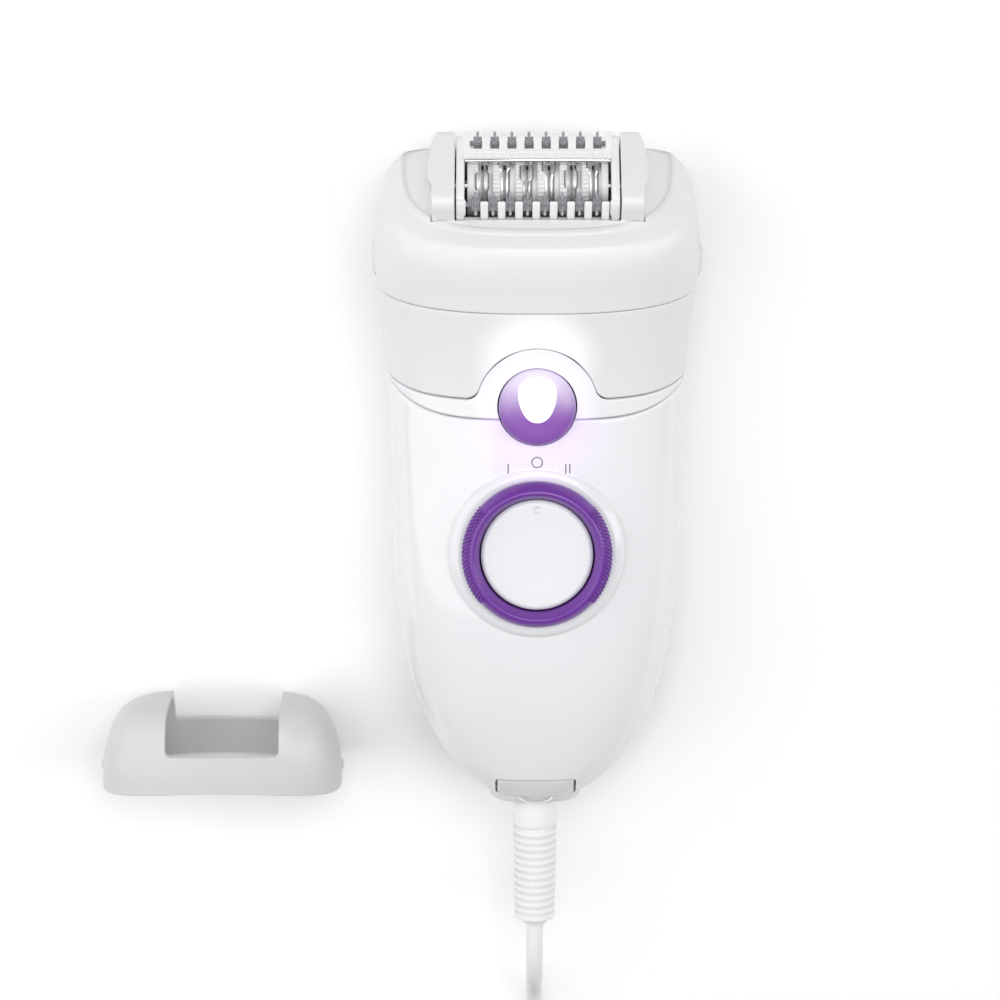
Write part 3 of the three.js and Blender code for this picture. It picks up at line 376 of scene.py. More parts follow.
def prism(outline, x0, x1, bevel=0.2, segments=2):
    """Points and faces of an outline in Y and Z, filled from x0 to x1, with rounded edges."""
    bm = bmesh.new()
    low = [bm.verts.new((x0, y, z)) for y, z in outline]
    high = [bm.verts.new((x1, y, z)) for y, z in outline]
    bm.faces.new(low)
    bm.faces.new(high[::-1])
    for i in range(len(outline)):
        j = (i + 1) % len(outline)
        bm.faces.new((low[j], low[i], high[i], high[j]))
    bm.normal_update()
    rims = [e for e in bm.edges if abs(e.verts[0].co.x - e.verts[1].co.x) < 1e-9]
    bmesh.ops.bevel(bm, geom=rims, offset=bevel, segments=segments, profile=0.5, affect="EDGES")
    points = [v.co.copy() for v in bm.verts]
    bm.verts.index_update()
    faces = [tuple(v.index for v in f.verts) for f in bm.faces]
    bm.free()
    return points, faces


def rod(y, z, radius, x0, x1, sides=16, round_end=0.15):
    """Points and faces of a round bar along X."""
    profile = rounded([(0, x0), (radius, x0), (radius, x1), (0, x1)], round_end, 2)
    points, faces = turned(profile, sides)
    return [Vector((p.z, y + p.x, z + p.y)) for p in points], faces


def baked(thing):
    """Turns an object's live modifiers into its mesh."""
    graph = bpy.context.evaluated_depsgraph_get()
    mesh = bpy.data.meshes.new_from_object(thing.evaluated_get(graph))
    thing.modifiers.clear()
    old = thing.data
    thing.data = mesh
    mesh.name = thing.name
    bpy.data.meshes.remove(old)
    return thing


def carved(thing, part, operation="DIFFERENCE", sharp=38.0):
    """Cuts a closed part out of an object, or keeps only what it has inside that part."""
    cutter = piece("cutter", *part, thing.data.materials[0])
    change = thing.modifiers.new("carve", "BOOLEAN")
    change.object = cutter
    change.operation = operation
    change.solver = "EXACT"
    baked(thing)
    bpy.data.objects.remove(cutter)
    finish_mesh(thing.data, sharp)
    return thing


def panel_matrix(spot):
    """Takes what is drawn about +Z at the heights of a knob or lamp to its place on the tilted panel."""
    there = Matrix.Translation((0, spot["station"], spot["base"]))
    return there @ Matrix.Rotation(-PANEL_TILT, 4, "X") @ Matrix.Translation((0, 0, -spot["base"]))


def cassette_matrix():
    """Takes the cassette's own frame, whose +Z points straight out of the tweezer window, to the handle's."""
    there = Matrix.Translation((0, CASSETTE["y"], CASSETTE["z"]))
    narrow = Matrix.Diagonal((CASSETTE["narrowing"], 1, 1, 1))
    return there @ Matrix.Rotation(CASSETTE["tilt"] - math.pi / 2, 4, "X") @ narrow


def fit(thing, body, slot, *stands_for):
    """Rides a piece on its body in place of the CAD nodes that it stands for. Its slot is not used."""
    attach(thing, body)
    if stands_for:
        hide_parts(*stands_for)


def dress(name, material):
    """Gives a CAD node a material."""
    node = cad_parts[name]
    node.data.materials.clear()
    node.data.materials.append(material)
    for slot in node.material_slots:
        slot.material = material


# ---- Materials --------------------------------------------------------------------------------------


def new_material(name):
    material = bpy.data.materials.new(name)
    material.use_nodes = True
    material.node_tree.nodes.clear()
    return material, material.node_tree.nodes, material.node_tree.links


def group_nodes(nodes, groups):
    """Puts each group's nodes in a labelled frame, one column for each node."""
    x = 0
    for row, (label, members) in enumerate(groups):
        holder = nodes.new("NodeFrame")
        holder.label = label
        for column, node in enumerate(members):
            node.parent = holder
            node.location = (x + 220 * column, -260 * row)
        x += 60


def moulded_plastic(name, color, roughness, drift=0.04, grain=2600, depth=0.012, coat=0.0, glow=0.0, lamp=None):
    """Injection-moulded plastic: a faint drift of colour, uneven gloss and a fine spark-eroded grain.

    A lamp is its centre, where its light starts to fade and where it ends, its colour and its strength; it paints a
    glow of that colour on the surface, as a tint and an emission that fade away from the lamp.
    """
    material, nodes, links = new_material(name)
    place = nodes.new("ShaderNodeTexCoord")
    place.label = "Where on the moulding"

    cloud = nodes.new("ShaderNodeTexNoise")
    cloud.label = "Flow of the resin"
    cloud.inputs["Scale"].default_value = 38
    cloud.inputs["Detail"].default_value = 3
    tint = nodes.new("ShaderNodeMix")
    tint.label = "Resin colour"
    tint.data_type = "RGBA"
    tint.inputs[6].default_value = (*[c * (1 - drift) for c in color], 1)
    tint.inputs[7].default_value = (*[min(c * (1 + drift), 1) for c in color], 1)

    polish = nodes.new("ShaderNodeTexNoise")
    polish.label = "Handling marks"
    polish.inputs["Scale"].default_value = 160
    polish.inputs["Detail"].default_value = 5
    gloss = nodes.new("ShaderNodeMapRange")
    gloss.label = "Uneven gloss"
    gloss.inputs["To Min"].default_value = roughness * 0.86
    gloss.inputs["To Max"].default_value = roughness * 1.14

    texture = nodes.new("ShaderNodeTexNoise")
    texture.label = "Tool grain"
    texture.inputs["Scale"].default_value = grain
    texture.inputs["Detail"].default_value = 2
    relief = nodes.new("ShaderNodeBump")
    relief.label = "Grain height"
    relief.inputs["Strength"].default_value = 0.25
    relief.inputs["Distance"].default_value = depth * MM

    surface = nodes.new("ShaderNodeBsdfPrincipled")
    surface.label = "Moulded plastic"
    resin = tint.outputs[2]
    groups = [("Colour", (place, cloud, tint)), ("Gloss", (polish, gloss)), ("Grain", (texture, relief)),
              ("Finish", (surface,))]
    # Painted glow: the lamp's light is painted on this plastic as a lighter tint and an emission that fade with
    # distance from the lamp.
    if lamp:
        centre, near, far, light, strength = lamp
        away = nodes.new("ShaderNodeVectorMath")
        away.label = "Distance from the lamp"
        away.operation = "DISTANCE"
        away.inputs[1].default_value = seat(centre)
        fade = nodes.new("ShaderNodeMapRange")
        fade.label = "Fading of the light"
        fade.interpolation_type = "SMOOTHSTEP"
        fade.inputs["From Min"].default_value = near * MM
        fade.inputs["From Max"].default_value = far * MM
        fade.inputs["To Min"].default_value = 1
        fade.inputs["To Max"].default_value = 0
        lit = nodes.new("ShaderNodeMix")
        lit.label = "Painted lamp glow over the resin"
        lit.data_type = "RGBA"
        lit.inputs[7].default_value = (*light, 1)
        through = nodes.new("ShaderNodeMath")
        through.label = "Painted glow strength"
        through.operation = "MULTIPLY"
        through.inputs[1].default_value = strength
        links.new(place.outputs["Object"], away.inputs[0])
        links.new(away.outputs["Value"], fade.inputs["Value"])
        links.new(fade.outputs["Result"], lit.inputs[0])
        links.new(resin, lit.inputs[6])
        links.new(fade.outputs["Result"], through.inputs[0])
        links.new(through.outputs["Value"], surface.inputs["Emission Strength"])
        resin = lit.outputs[2]
        groups.insert(1, ("Painted glow of the lamp", (away, fade, lit, through)))
    surface.inputs["IOR"].default_value = 1.5
    surface.inputs["Coat Weight"].default_value = coat
    surface.inputs["Coat Roughness"].default_value = 0.06
    surface.inputs["Emission Strength"].default_value = glow
    output = nodes.new("ShaderNodeOutputMaterial")
    output.label = "Surface"

    links.new(place.outputs["Object"], cloud.inputs["Vector"])
    links.new(cloud.outputs["Fac"], tint.inputs[0])
    links.new(resin, surface.inputs["Base Color"])
    links.new(resin, surface.inputs["Emission Color"])
    links.new(place.outputs["Object"], polish.inputs["Vector"])
    links.new(polish.outputs["Fac"], gloss.inputs["Value"])
    links.new(gloss.outputs["Result"], surface.inputs["Roughness"])
    links.new(place.outputs["Object"], texture.inputs["Vector"])
    links.new(texture.outputs["Fac"], relief.inputs["Height"])
    links.new(relief.outputs["Normal"], surface.inputs["Normal"])
    links.new(surface.outputs["BSDF"], output.inputs["Surface"])
    group_nodes(nodes, groups + [("Output", (output,))])
    return material


def lamp_face(name, low_color, high_color, low, high, glow):
    """The lamp's coloured ring, which pales towards the tweezers where its light comes out."""
    material, nodes, links = new_material(name)
    place = nodes.new("ShaderNodeTexCoord")
    place.label = "Where on the lamp"
    parts = nodes.new("ShaderNodeSeparateXYZ")
    parts.label = "Distance along the handle"
    rise = nodes.new("ShaderNodeMapRange")
    rise.label = "From the foot of the lamp to its top"
    rise.interpolation_type = "SMOOTHSTEP"
    rise.inputs["From Min"].default_value = (low - ORIGIN_STATION) * MM
    rise.inputs["From Max"].default_value = (high - ORIGIN_STATION) * MM
    blend = nodes.new("ShaderNodeMix")
    blend.label = "Deep to pale"
    blend.data_type = "RGBA"
    blend.inputs[6].default_value = (*low_color, 1)
    blend.inputs[7].default_value = (*high_color, 1)
    frost = nodes.new("ShaderNodeTexNoise")
    frost.label = "Frosting"
    frost.inputs["Scale"].default_value = 900
    gloss = nodes.new("ShaderNodeMapRange")
    gloss.label = "Uneven gloss"
    gloss.inputs["To Min"].default_value = 0.26
    gloss.inputs["To Max"].default_value = 0.4
    relief = nodes.new("ShaderNodeBump")
    relief.label = "Frosting height"
    relief.inputs["Strength"].default_value = 0.15
    relief.inputs["Distance"].default_value = 0.01 * MM
    surface = nodes.new("ShaderNodeBsdfPrincipled")
    surface.label = "Tinted lens"
    surface.inputs["Emission Strength"].default_value = glow
    output = nodes.new("ShaderNodeOutputMaterial")
    output.label = "Surface"
    links.new(place.outputs["Object"], parts.inputs["Vector"])
    links.new(parts.outputs["Y"], rise.inputs["Value"])
    links.new(rise.outputs["Result"], blend.inputs[0])
    links.new(blend.outputs[2], surface.inputs["Base Color"])
    links.new(blend.outputs[2], surface.inputs["Emission Color"])
    links.new(place.outputs["Object"], frost.inputs["Vector"])
    links.new(frost.outputs["Fac"], gloss.inputs["Value"])
    links.new(gloss.outputs["Result"], surface.inputs["Roughness"])
    links.new(frost.outputs["Fac"], relief.inputs["Height"])
    links.new(relief.outputs["Normal"], surface.inputs["Normal"])
    links.new(surface.outputs["BSDF"], output.inputs["Surface"])
    group_nodes(nodes, [("Colour", (place, parts, rise, blend)), ("Frosting", (frost, gloss, relief)),
                        ("Finish", (surface, output))])
    return material


def clear_plastic(name, color, roughness, transmission, alpha=1.0):
    """See-through plastic with a trace of moulding haze."""
    material, nodes, links = new_material(name)
    place = nodes.new("ShaderNodeTexCoord")
    place.label = "Where on the moulding"
    haze = nodes.new("ShaderNodeTexNoise")
    haze.label = "Moulding haze"
    haze.inputs["Scale"].default_value = 240
    tint = nodes.new("ShaderNodeMix")
    tint.label = "Clear resin colour"
    tint.data_type = "RGBA"
    tint.inputs[6].default_value = (*[c * 0.94 for c in color], 1)
    tint.inputs[7].default_value = (*[min(c * 1.04, 1) for c in color], 1)
    gloss = nodes.new("ShaderNodeMapRange")
    gloss.label = "Uneven gloss"
    gloss.inputs["To Min"].default_value = roughness * 0.7
    gloss.inputs["To Max"].default_value = roughness * 1.3
    relief = nodes.new("ShaderNodeBump")
    relief.label = "Haze height"
    relief.inputs["Strength"].default_value = 0.1
    relief.inputs["Distance"].default_value = 0.02 * MM
    surface = nodes.new("ShaderNodeBsdfPrincipled")
    surface.label = "Clear plastic"
    surface.inputs["IOR"].default_value = 1.49
    surface.inputs["Transmission Weight"].default_value = transmission
    surface.inputs["Alpha"].default_value = alpha
    output = nodes.new("ShaderNodeOutputMaterial")
    output.label = "Surface"
    links.new(place.outputs["Object"], haze.inputs["Vector"])
    links.new(haze.outputs["Fac"], tint.inputs[0])
    links.new(tint.outputs[2], surface.inputs["Base Color"])
    links.new(haze.outputs["Fac"], gloss.inputs["Value"])
    links.new(gloss.outputs["Result"], surface.inputs["Roughness"])
    links.new(haze.outputs["Fac"], relief.inputs["Height"])
    links.new(relief.outputs["Normal"], surface.inputs["Normal"])
    links.new(surface.outputs["BSDF"], output.inputs["Surface"])
    group_nodes(nodes, [("Colour", (place, haze, tint)), ("Gloss", (gloss, relief)), ("Finish", (surface, output))])
    return material


def brushed_metal(name, color, roughness, stretch=(40, 900, 900)):
    """Bright metal with fine draw lines along the handle's width."""
    material, nodes, links = new_material(name)
    place = nodes.new("ShaderNodeTexCoord")
    place.label = "Where on the metal"
    along = nodes.new("ShaderNodeMapping")
    along.label = "Direction of the draw lines"
    along.inputs["Scale"].default_value = stretch
    lines = nodes.new("ShaderNodeTexNoise")
    lines.label = "Draw lines"
    lines.inputs["Scale"].default_value = 1
    lines.inputs["Detail"].default_value = 4
    tint = nodes.new("ShaderNodeMix")
    tint.label = "Metal colour"
    tint.data_type = "RGBA"
    tint.inputs[6].default_value = (*[c * 0.88 for c in color], 1)
    tint.inputs[7].default_value = (*color, 1)
    gloss = nodes.new("ShaderNodeMapRange")
    gloss.label = "Uneven polish"
    gloss.inputs["To Min"].default_value = roughness * 0.7
    gloss.inputs["To Max"].default_value = roughness * 1.5
    relief = nodes.new("ShaderNodeBump")
    relief.label = "Line depth"
    relief.inputs["Strength"].default_value = 0.2
    relief.inputs["Distance"].default_value = 0.01 * MM
    surface = nodes.new("ShaderNodeBsdfPrincipled")
    surface.label = "Metal"
    surface.inputs["Metallic"].default_value = 1.0
    output = nodes.new("ShaderNodeOutputMaterial")
    output.label = "Surface"
    links.new(place.outputs["Object"], along.inputs["Vector"])
    links.new(along.outputs["Vector"], lines.inputs["Vector"])
    links.new(lines.outputs["Fac"], tint.inputs[0])
    links.new(tint.outputs[2], surface.inputs["Base Color"])
    links.new(lines.outputs["Fac"], gloss.inputs["Value"])
    links.new(gloss.outputs["Result"], surface.inputs["Roughness"])
    links.new(lines.outputs["Fac"], relief.inputs["Height"])
    links.new(relief.outputs["Normal"], surface.inputs["Normal"])
    links.new(surface.outputs["BSDF"], output.inputs["Surface"])
    group_nodes(nodes, [("Lines", (place, along, lines)), ("Colour and polish", (tint, gloss, relief)),
                        ("Finish", (surface, output))])
    return material


FINISHES = {}


def make_finishes(colours):
    """All the finishes, once the colours are known."""
    white, purple = tuple(colours.shell), tuple(colours.ring)
    neck = tuple(colours.head)
    # Painted glow: the lamp's light painted on the front shell, the collar band and the neck around the lamp,
    # strongest on the neck just above it.
    shell_painted_glow = ((0, 85, 34), 7, 18, tuple(colours.painted_glow_colour), 0.1)
    band_painted_glow = ((0, 88, 34), 8, 14, (0.88, 0.85, 0.95), 0.14)
    neck_painted_glow = ((0, 97, 36), 2, 15, (0.95, 0.94, 0.97), 0.22)
    FINISHES.update(
        gloss_white=moulded_plastic("gloss_white_plastic", white, 0.11, drift=0.025, depth=0.01, lamp=shell_painted_glow),
        back_white=moulded_plastic("back_white_plastic", white, 0.26, drift=0.02),
        band_white=moulded_plastic("band_white_plastic", white, 0.14, drift=0.025, depth=0.01, lamp=band_painted_glow),
        neck_white=moulded_plastic("neck_white_plastic", neck, 0.3, drift=0.025, depth=0.01, lamp=neck_painted_glow),
        satin_white=moulded_plastic("satin_white_plastic", neck, 0.34, drift=0.02),
        disc_white=moulded_plastic("switch_disc_plastic", (0.77, 0.775, 0.785), 0.4, drift=0.025, depth=0.02),
        comb_white=moulded_plastic("comb_plastic", (0.82, 0.82, 0.82), 0.3, drift=0.025),
        drum_white=moulded_plastic("drum_plastic", (0.72, 0.72, 0.73), 0.42, drift=0.05),
        inner=moulded_plastic("inner_plastic", (0.42, 0.42, 0.43), 0.5, drift=0.06),
        gear=moulded_plastic("gear_plastic", (0.78, 0.76, 0.7), 0.45, drift=0.05),
        board=moulded_plastic("board_laminate", (0.02, 0.13, 0.05), 0.4, drift=0.2, grain=1400),
        purple=moulded_plastic("purple_plastic", purple, 0.3, drift=0.06, coat=0.12),
        mark=moulded_plastic("printed_grey", (0.24, 0.24, 0.25), 0.5, drift=0.03),
        # Painted shade: the cap is white plastic, but its colour is a darker grey than the other white mouldings so
        # that it looks shaded.
        cap_white=moulded_plastic("cap_plastic_painted_shade", (0.6, 0.6, 0.6), 0.34, drift=0.025),
        cord=moulded_plastic("cord_sheath", (0.8, 0.8, 0.8), 0.46, drift=0.035, grain=1500, depth=0.03),
        relief=moulded_plastic("relief_rubber", (0.82, 0.82, 0.82), 0.44, drift=0.03, grain=1800, depth=0.02),
        adapter=moulded_plastic("adapter_plastic", (0.79, 0.79, 0.78), 0.5, drift=0.03, grain=1100, depth=0.04),
        tie=moulded_plastic("tie_plastic", (0.6, 0.6, 0.6), 0.4, drift=0.05),
        # Painted shade: a near-black plastic laid on the rims of the tweezer blades' tips.
        slate=moulded_plastic("painted_shade_dark_plastic", (0.16, 0.16, 0.17), 0.5, drift=0.06),
        lamp=lamp_face("lamp_ring_plastic", tuple(colours.lamp), (0.86, 0.8, 0.93), 85.0, 97.0, 0.06),
        window=moulded_plastic("lamp_window_plastic", (0.97, 0.97, 1.0), 0.22, drift=0.01, glow=0.75),
        clear=clear_plastic("clear_socket_plastic", (0.95, 0.955, 0.965), 0.08, 0.32),
        smoke=clear_plastic("smoke_roller_plastic", (0.5, 0.51, 0.53), 0.2, 0.4),
        steel=brushed_metal("tweezer_steel", (0.78, 0.78, 0.79), 0.3),
        blade_steel=brushed_metal("pale_blade_steel", (0.94, 0.94, 0.945), 0.45),
        chrome=brushed_metal("guide_bar_chrome", (0.9, 0.9, 0.9), 0.12, (30, 1500, 1500)),
        dark_steel=brushed_metal("motor_steel", (0.42, 0.42, 0.43), 0.35),
        brass=brushed_metal("contact_brass", (0.78, 0.6, 0.3), 0.25),
    )


# ---- Repeats, made by geometry nodes ----------------------------------------------------------------


def give_sockets(tree, extra):
    """The inputs of a repeating tree, around its own extra ones, and its output."""
    for name, kind in (("Geometry", "Geometry"), *extra, ("Finish", "Material")):
        tree.interface.new_socket(name, in_out="INPUT", socket_type=f"NodeSocket{kind}")
    tree.interface.new_socket("Geometry", in_out="OUTPUT", socket_type="NodeSocketGeometry")


def row_tree():
    """A node tree that repeats the geometry it is given along a straight row."""
    tree = bpy.data.node_groups.new("even_row", "GeometryNodeTree")
    give_sockets(tree, (("Count", "Int"), ("First", "Vector"), ("Step", "Vector")))
    nodes, links = tree.nodes, tree.links
    start = nodes.new("NodeGroupInput")
    line = nodes.new("GeometryNodeMeshLine")
    line.label = "Places along the row"
    copies = nodes.new("GeometryNodeInstanceOnPoints")
    copies.label = "One at each place"
    real = nodes.new("GeometryNodeRealizeInstances")
    finish = nodes.new("GeometryNodeSetMaterial")
    end = nodes.new("NodeGroupOutput")
    for i, node in enumerate((start, line, copies, real, finish, end)):
        node.location = (220 * i, 0)
    links.new(start.outputs["Count"], line.inputs["Count"])
    links.new(start.outputs["First"], line.inputs["Start Location"])
    links.new(start.outputs["Step"], line.inputs["Offset"])
    links.new(line.outputs["Mesh"], copies.inputs["Points"])
    links.new(start.outputs["Geometry"], copies.inputs["Instance"])
    links.new(copies.outputs["Instances"], real.inputs["Geometry"])
    links.new(real.outputs["Geometry"], finish.inputs["Geometry"])
    links.new(start.outputs["Finish"], finish.inputs["Material"])
    links.new(finish.outputs["Geometry"], end.inputs["Geometry"])
    return tree


def turn_tree():
    """A node tree that repeats the geometry it is given around an axis through the origin."""
    tree = bpy.data.node_groups.new("even_turn", "GeometryNodeTree")
    give_sockets(tree, (("Count", "Int"), ("Axis", "Vector"), ("First angle", "Float"), ("Angle step", "Float")))
    nodes, links = tree.nodes, tree.links
    start = nodes.new("NodeGroupInput")
    line = nodes.new("GeometryNodeMeshLine")
    line.label = "One point for each copy"
    line.inputs["Offset"].default_value = (0, 0, 0)
    index = nodes.new("GeometryNodeInputIndex")
    angle = nodes.new("ShaderNodeMath")
    angle.label = "Angle of each copy"
    angle.operation = "MULTIPLY_ADD"
    turn = nodes.new("FunctionNodeAxisAngleToRotation")
    turn.label = "Turn about the axis"
    copies = nodes.new("GeometryNodeInstanceOnPoints")
    copies.label = "One at each angle"
    real = nodes.new("GeometryNodeRealizeInstances")
    finish = nodes.new("GeometryNodeSetMaterial")
    end = nodes.new("NodeGroupOutput")
    for i, node in enumerate((start, line, index, angle, turn, copies, real, finish, end)):
        node.location = (200 * i, -120 * (i % 2))
    links.new(start.outputs["Count"], line.inputs["Count"])
    links.new(index.outputs["Index"], angle.inputs[0])
    links.new(start.outputs["Angle step"], angle.inputs[1])
    links.new(start.outputs["First angle"], angle.inputs[2])
    links.new(start.outputs["Axis"], turn.inputs["Axis"])
    links.new(angle.outputs["Value"], turn.inputs["Angle"])
    links.new(line.outputs["Mesh"], copies.inputs["Points"])
    links.new(start.outputs["Geometry"], copies.inputs["Instance"])
    links.new(turn.outputs["Rotation"], copies.inputs["Rotation"])
    links.new(copies.outputs["Instances"], real.inputs["Geometry"])
    links.new(real.outputs["Geometry"], finish.inputs["Geometry"])
    links.new(start.outputs["Finish"], finish.inputs["Material"])
    links.new(finish.outputs["Geometry"], end.inputs["Geometry"])
    return tree


def repeated(part, kind, values, material, name="repeat"):
    """Points and faces, in millimetres, of a part repeated by the named tree with the given inputs."""
    trees = {"row": ("even_row", row_tree), "turn": ("even_turn", turn_tree)}
    tree_name, make = trees[kind]
    tree = bpy.data.node_groups.get(tree_name) or make()
    mesh = bpy.data.meshes.new(name)
    mesh.from_pydata([Vector(p) for p in part[0]], [], part[1])
    thing = bpy.data.objects.new(name, mesh)
    bpy.context.scene.collection.objects.link(thing)
    change = thing.modifiers.new(name, "NODES")
    change.node_group = tree
    for socket in tree.interface.items_tree:
        if socket.in_out == "INPUT" and socket.name in values:
            change[socket.identifier] = values[socket.name]
        if socket.in_out == "INPUT" and socket.name == "Finish":
            change[socket.identifier] = material
    baked(thing)
    points = [v.co.copy() for v in thing.data.vertices]
    faces = [tuple(p.vertices) for p in thing.data.polygons]
    bpy.data.objects.remove(thing)
    return points, faces


# ---- The handle -------------------------------------------------------------------------------------


def front_angles(extra=()):
    """Angles over the front half, closer together at its two edges and where the arch is steep."""
    angles = columns(0.0, math.pi, 150, EDGE_STEPS)
    for x in extra:
        share = bent(x / 30.3, 1 / SQUARENESS)
        angles += [math.acos(share), math.pi - math.acos(share)]
    return sorted(angles)


def back_angles():
    return columns(math.pi, math.tau, 110, EDGE_STEPS)


ARCH_COLUMNS = [10.2 + 0.18 * i for i in range(26)]


def housing_wall(angles, low, high, count, split=0, wrap=False, point=housing_point, wall=WALL):
    """A wall between two seams. Split is 1 for a front half, -1 for a back half and 0 for a whole ring."""
    edges = []
    reach = 0.0
    for i, angle in enumerate(angles):
        p = point(angle, (low(0, 0) + high(0, 0)) / 2)
        reach += (p - before).length if i else 0
        before = p
        edges.append(reach)
    outer, inner = [], []
    steps = [("low", d) for d in EDGE_STEPS] + [("share", i / count) for i in range(1, count)]
    steps += [("high", d) for d in reversed(EDGE_STEPS)]
    for kind, amount in steps:
        outer_row, inner_row = [], []
        for angle, length in zip(angles, edges):
            station = (low(0, 0) + high(0, 0)) / 2
            for _ in range(4):
                p = point(angle, station)
                bottom, top = low(p.x, p.z), high(p.x, p.z)
                margin = EDGE_STEPS[-1]
                if kind == "low":
                    station = bottom + amount
                elif kind == "high":
                    station = top - amount
                else:
                    station = bottom + margin + (top - bottom - 2 * margin) * amount
            inset = dip(station - bottom) + dip(top - station)
            if split:
                inset += dip(min(length, reach - length))
            p, q = point(angle, station, inset), point(angle, station, wall)
            for spot in (p, q):
                if split > 0:
                    spot.z = max(spot.z, SPLIT_Z + GAP / 2)
                if split < 0:
                    spot.z = min(spot.z, SPLIT_Z - GAP / 2)
            outer_row.append(p)
            inner_row.append(q)
        outer.append(outer_row)
        inner.append(inner_row)
    return closed_shell(outer, inner, wrap)


def drum_about(spot, radius, low, high, sides=96):
    """A round cutter or boss about a knob's or lamp's axis."""
    part = turned([(0, low), (radius, low), (radius, high), (0, high)], sides)
    return moved(part, panel_matrix(spot))


class EPILATOR_OT_housing(Operator):
    """Make the handle's front and back shells, the collar band, the neck and the screws' holes"""

    bl_idname = "epilator.housing"
    bl_label = "Handle shells"

    def execute(self, context):
        front = piece(
            "housing_front",
            *housing_wall(front_angles(), lambda x, z: SHELL_FOOT, lambda x, z: band_edge(x) - GAP / 2, 100, split=1),
            FINISHES["gloss_white"],
        )
        plinth = rounded([(0, 33), (17.75, 35.2), (17.7, 35.7), (16.9, 36.5), (15.9, 36.9), (0, 36.9)], 0.35, 4)
        boss = moved(turned(plinth, 160), panel_matrix(KNOB))
        carved(front, boss, "UNION", 50)
        carved(front, drum_about(KNOB, KNOB["well"], 28, 45), sharp=50)
        carved(front, drum_about(LAMP, LAMP["radius"], 25, 45), sharp=50)
        notch = block(-NOTCH["half"], NOTCH["half"], -2, NOTCH["top"], SPLIT_Z + 1.2, 40, 0.7, 3)
        carved(front, notch, sharp=50)
        fit(front, "handle", "gloss_white", "front_shell")

        back = piece(
            "housing_back",
            *housing_wall(back_angles(), lambda x, z: SHELL_FOOT, lambda x, z: BACK_SEAM - GAP / 2, 90, split=-1),
            FINISHES["back_white"],
        )
        for station in (24, 80):
            well = turned([(0, -3), (2.9, -3), (2.9, 0.15), (2.6, 0.5), (2.6, 6), (0, 6)], 48)
            carved(back, moved(well, Matrix.Translation((0, station, 0))), sharp=50)
        fit(back, "handle", "gloss_white", "back_shell")

        arch_angles = front_angles(ARCH_COLUMNS)
        band = piece(
            "collar_band_shell",
            *housing_wall(
                arch_angles, lambda x, z: band_edge(x) + GAP / 2, lambda x, z: arch_edge(x) - GAP / 2, 12, split=1
            ),
            FINISHES["band_white"],
        )
        carved(band, drum_about(LAMP, LAMP["radius"], 25, 45), sharp=50)
        fit(band, "handle", "satin_white", "collar_band")

        def neck_low(x, z):
            return arch_edge(x) + GAP / 2 if z >= SPLIT_Z else BACK_SEAM + GAP / 2

        def neck_high(x, z):
            return SEAM_STATION + SEAM_LEAN * (SPLIT_Z - z) - GAP / 2

        neck = piece(
            "neck",
            *housing_wall(sorted(set(arch_angles + back_angles()[1:-1])), neck_low, neck_high, 28, wrap=True),
            FINISHES["neck_white"],
        )
        fit(neck, "handle", "satin_white", "neck_shell")
        for name in ("shell_screw_1", "shell_screw_2"):
            dress(name, FINISHES["dark_steel"])
        return {"FINISHED"}


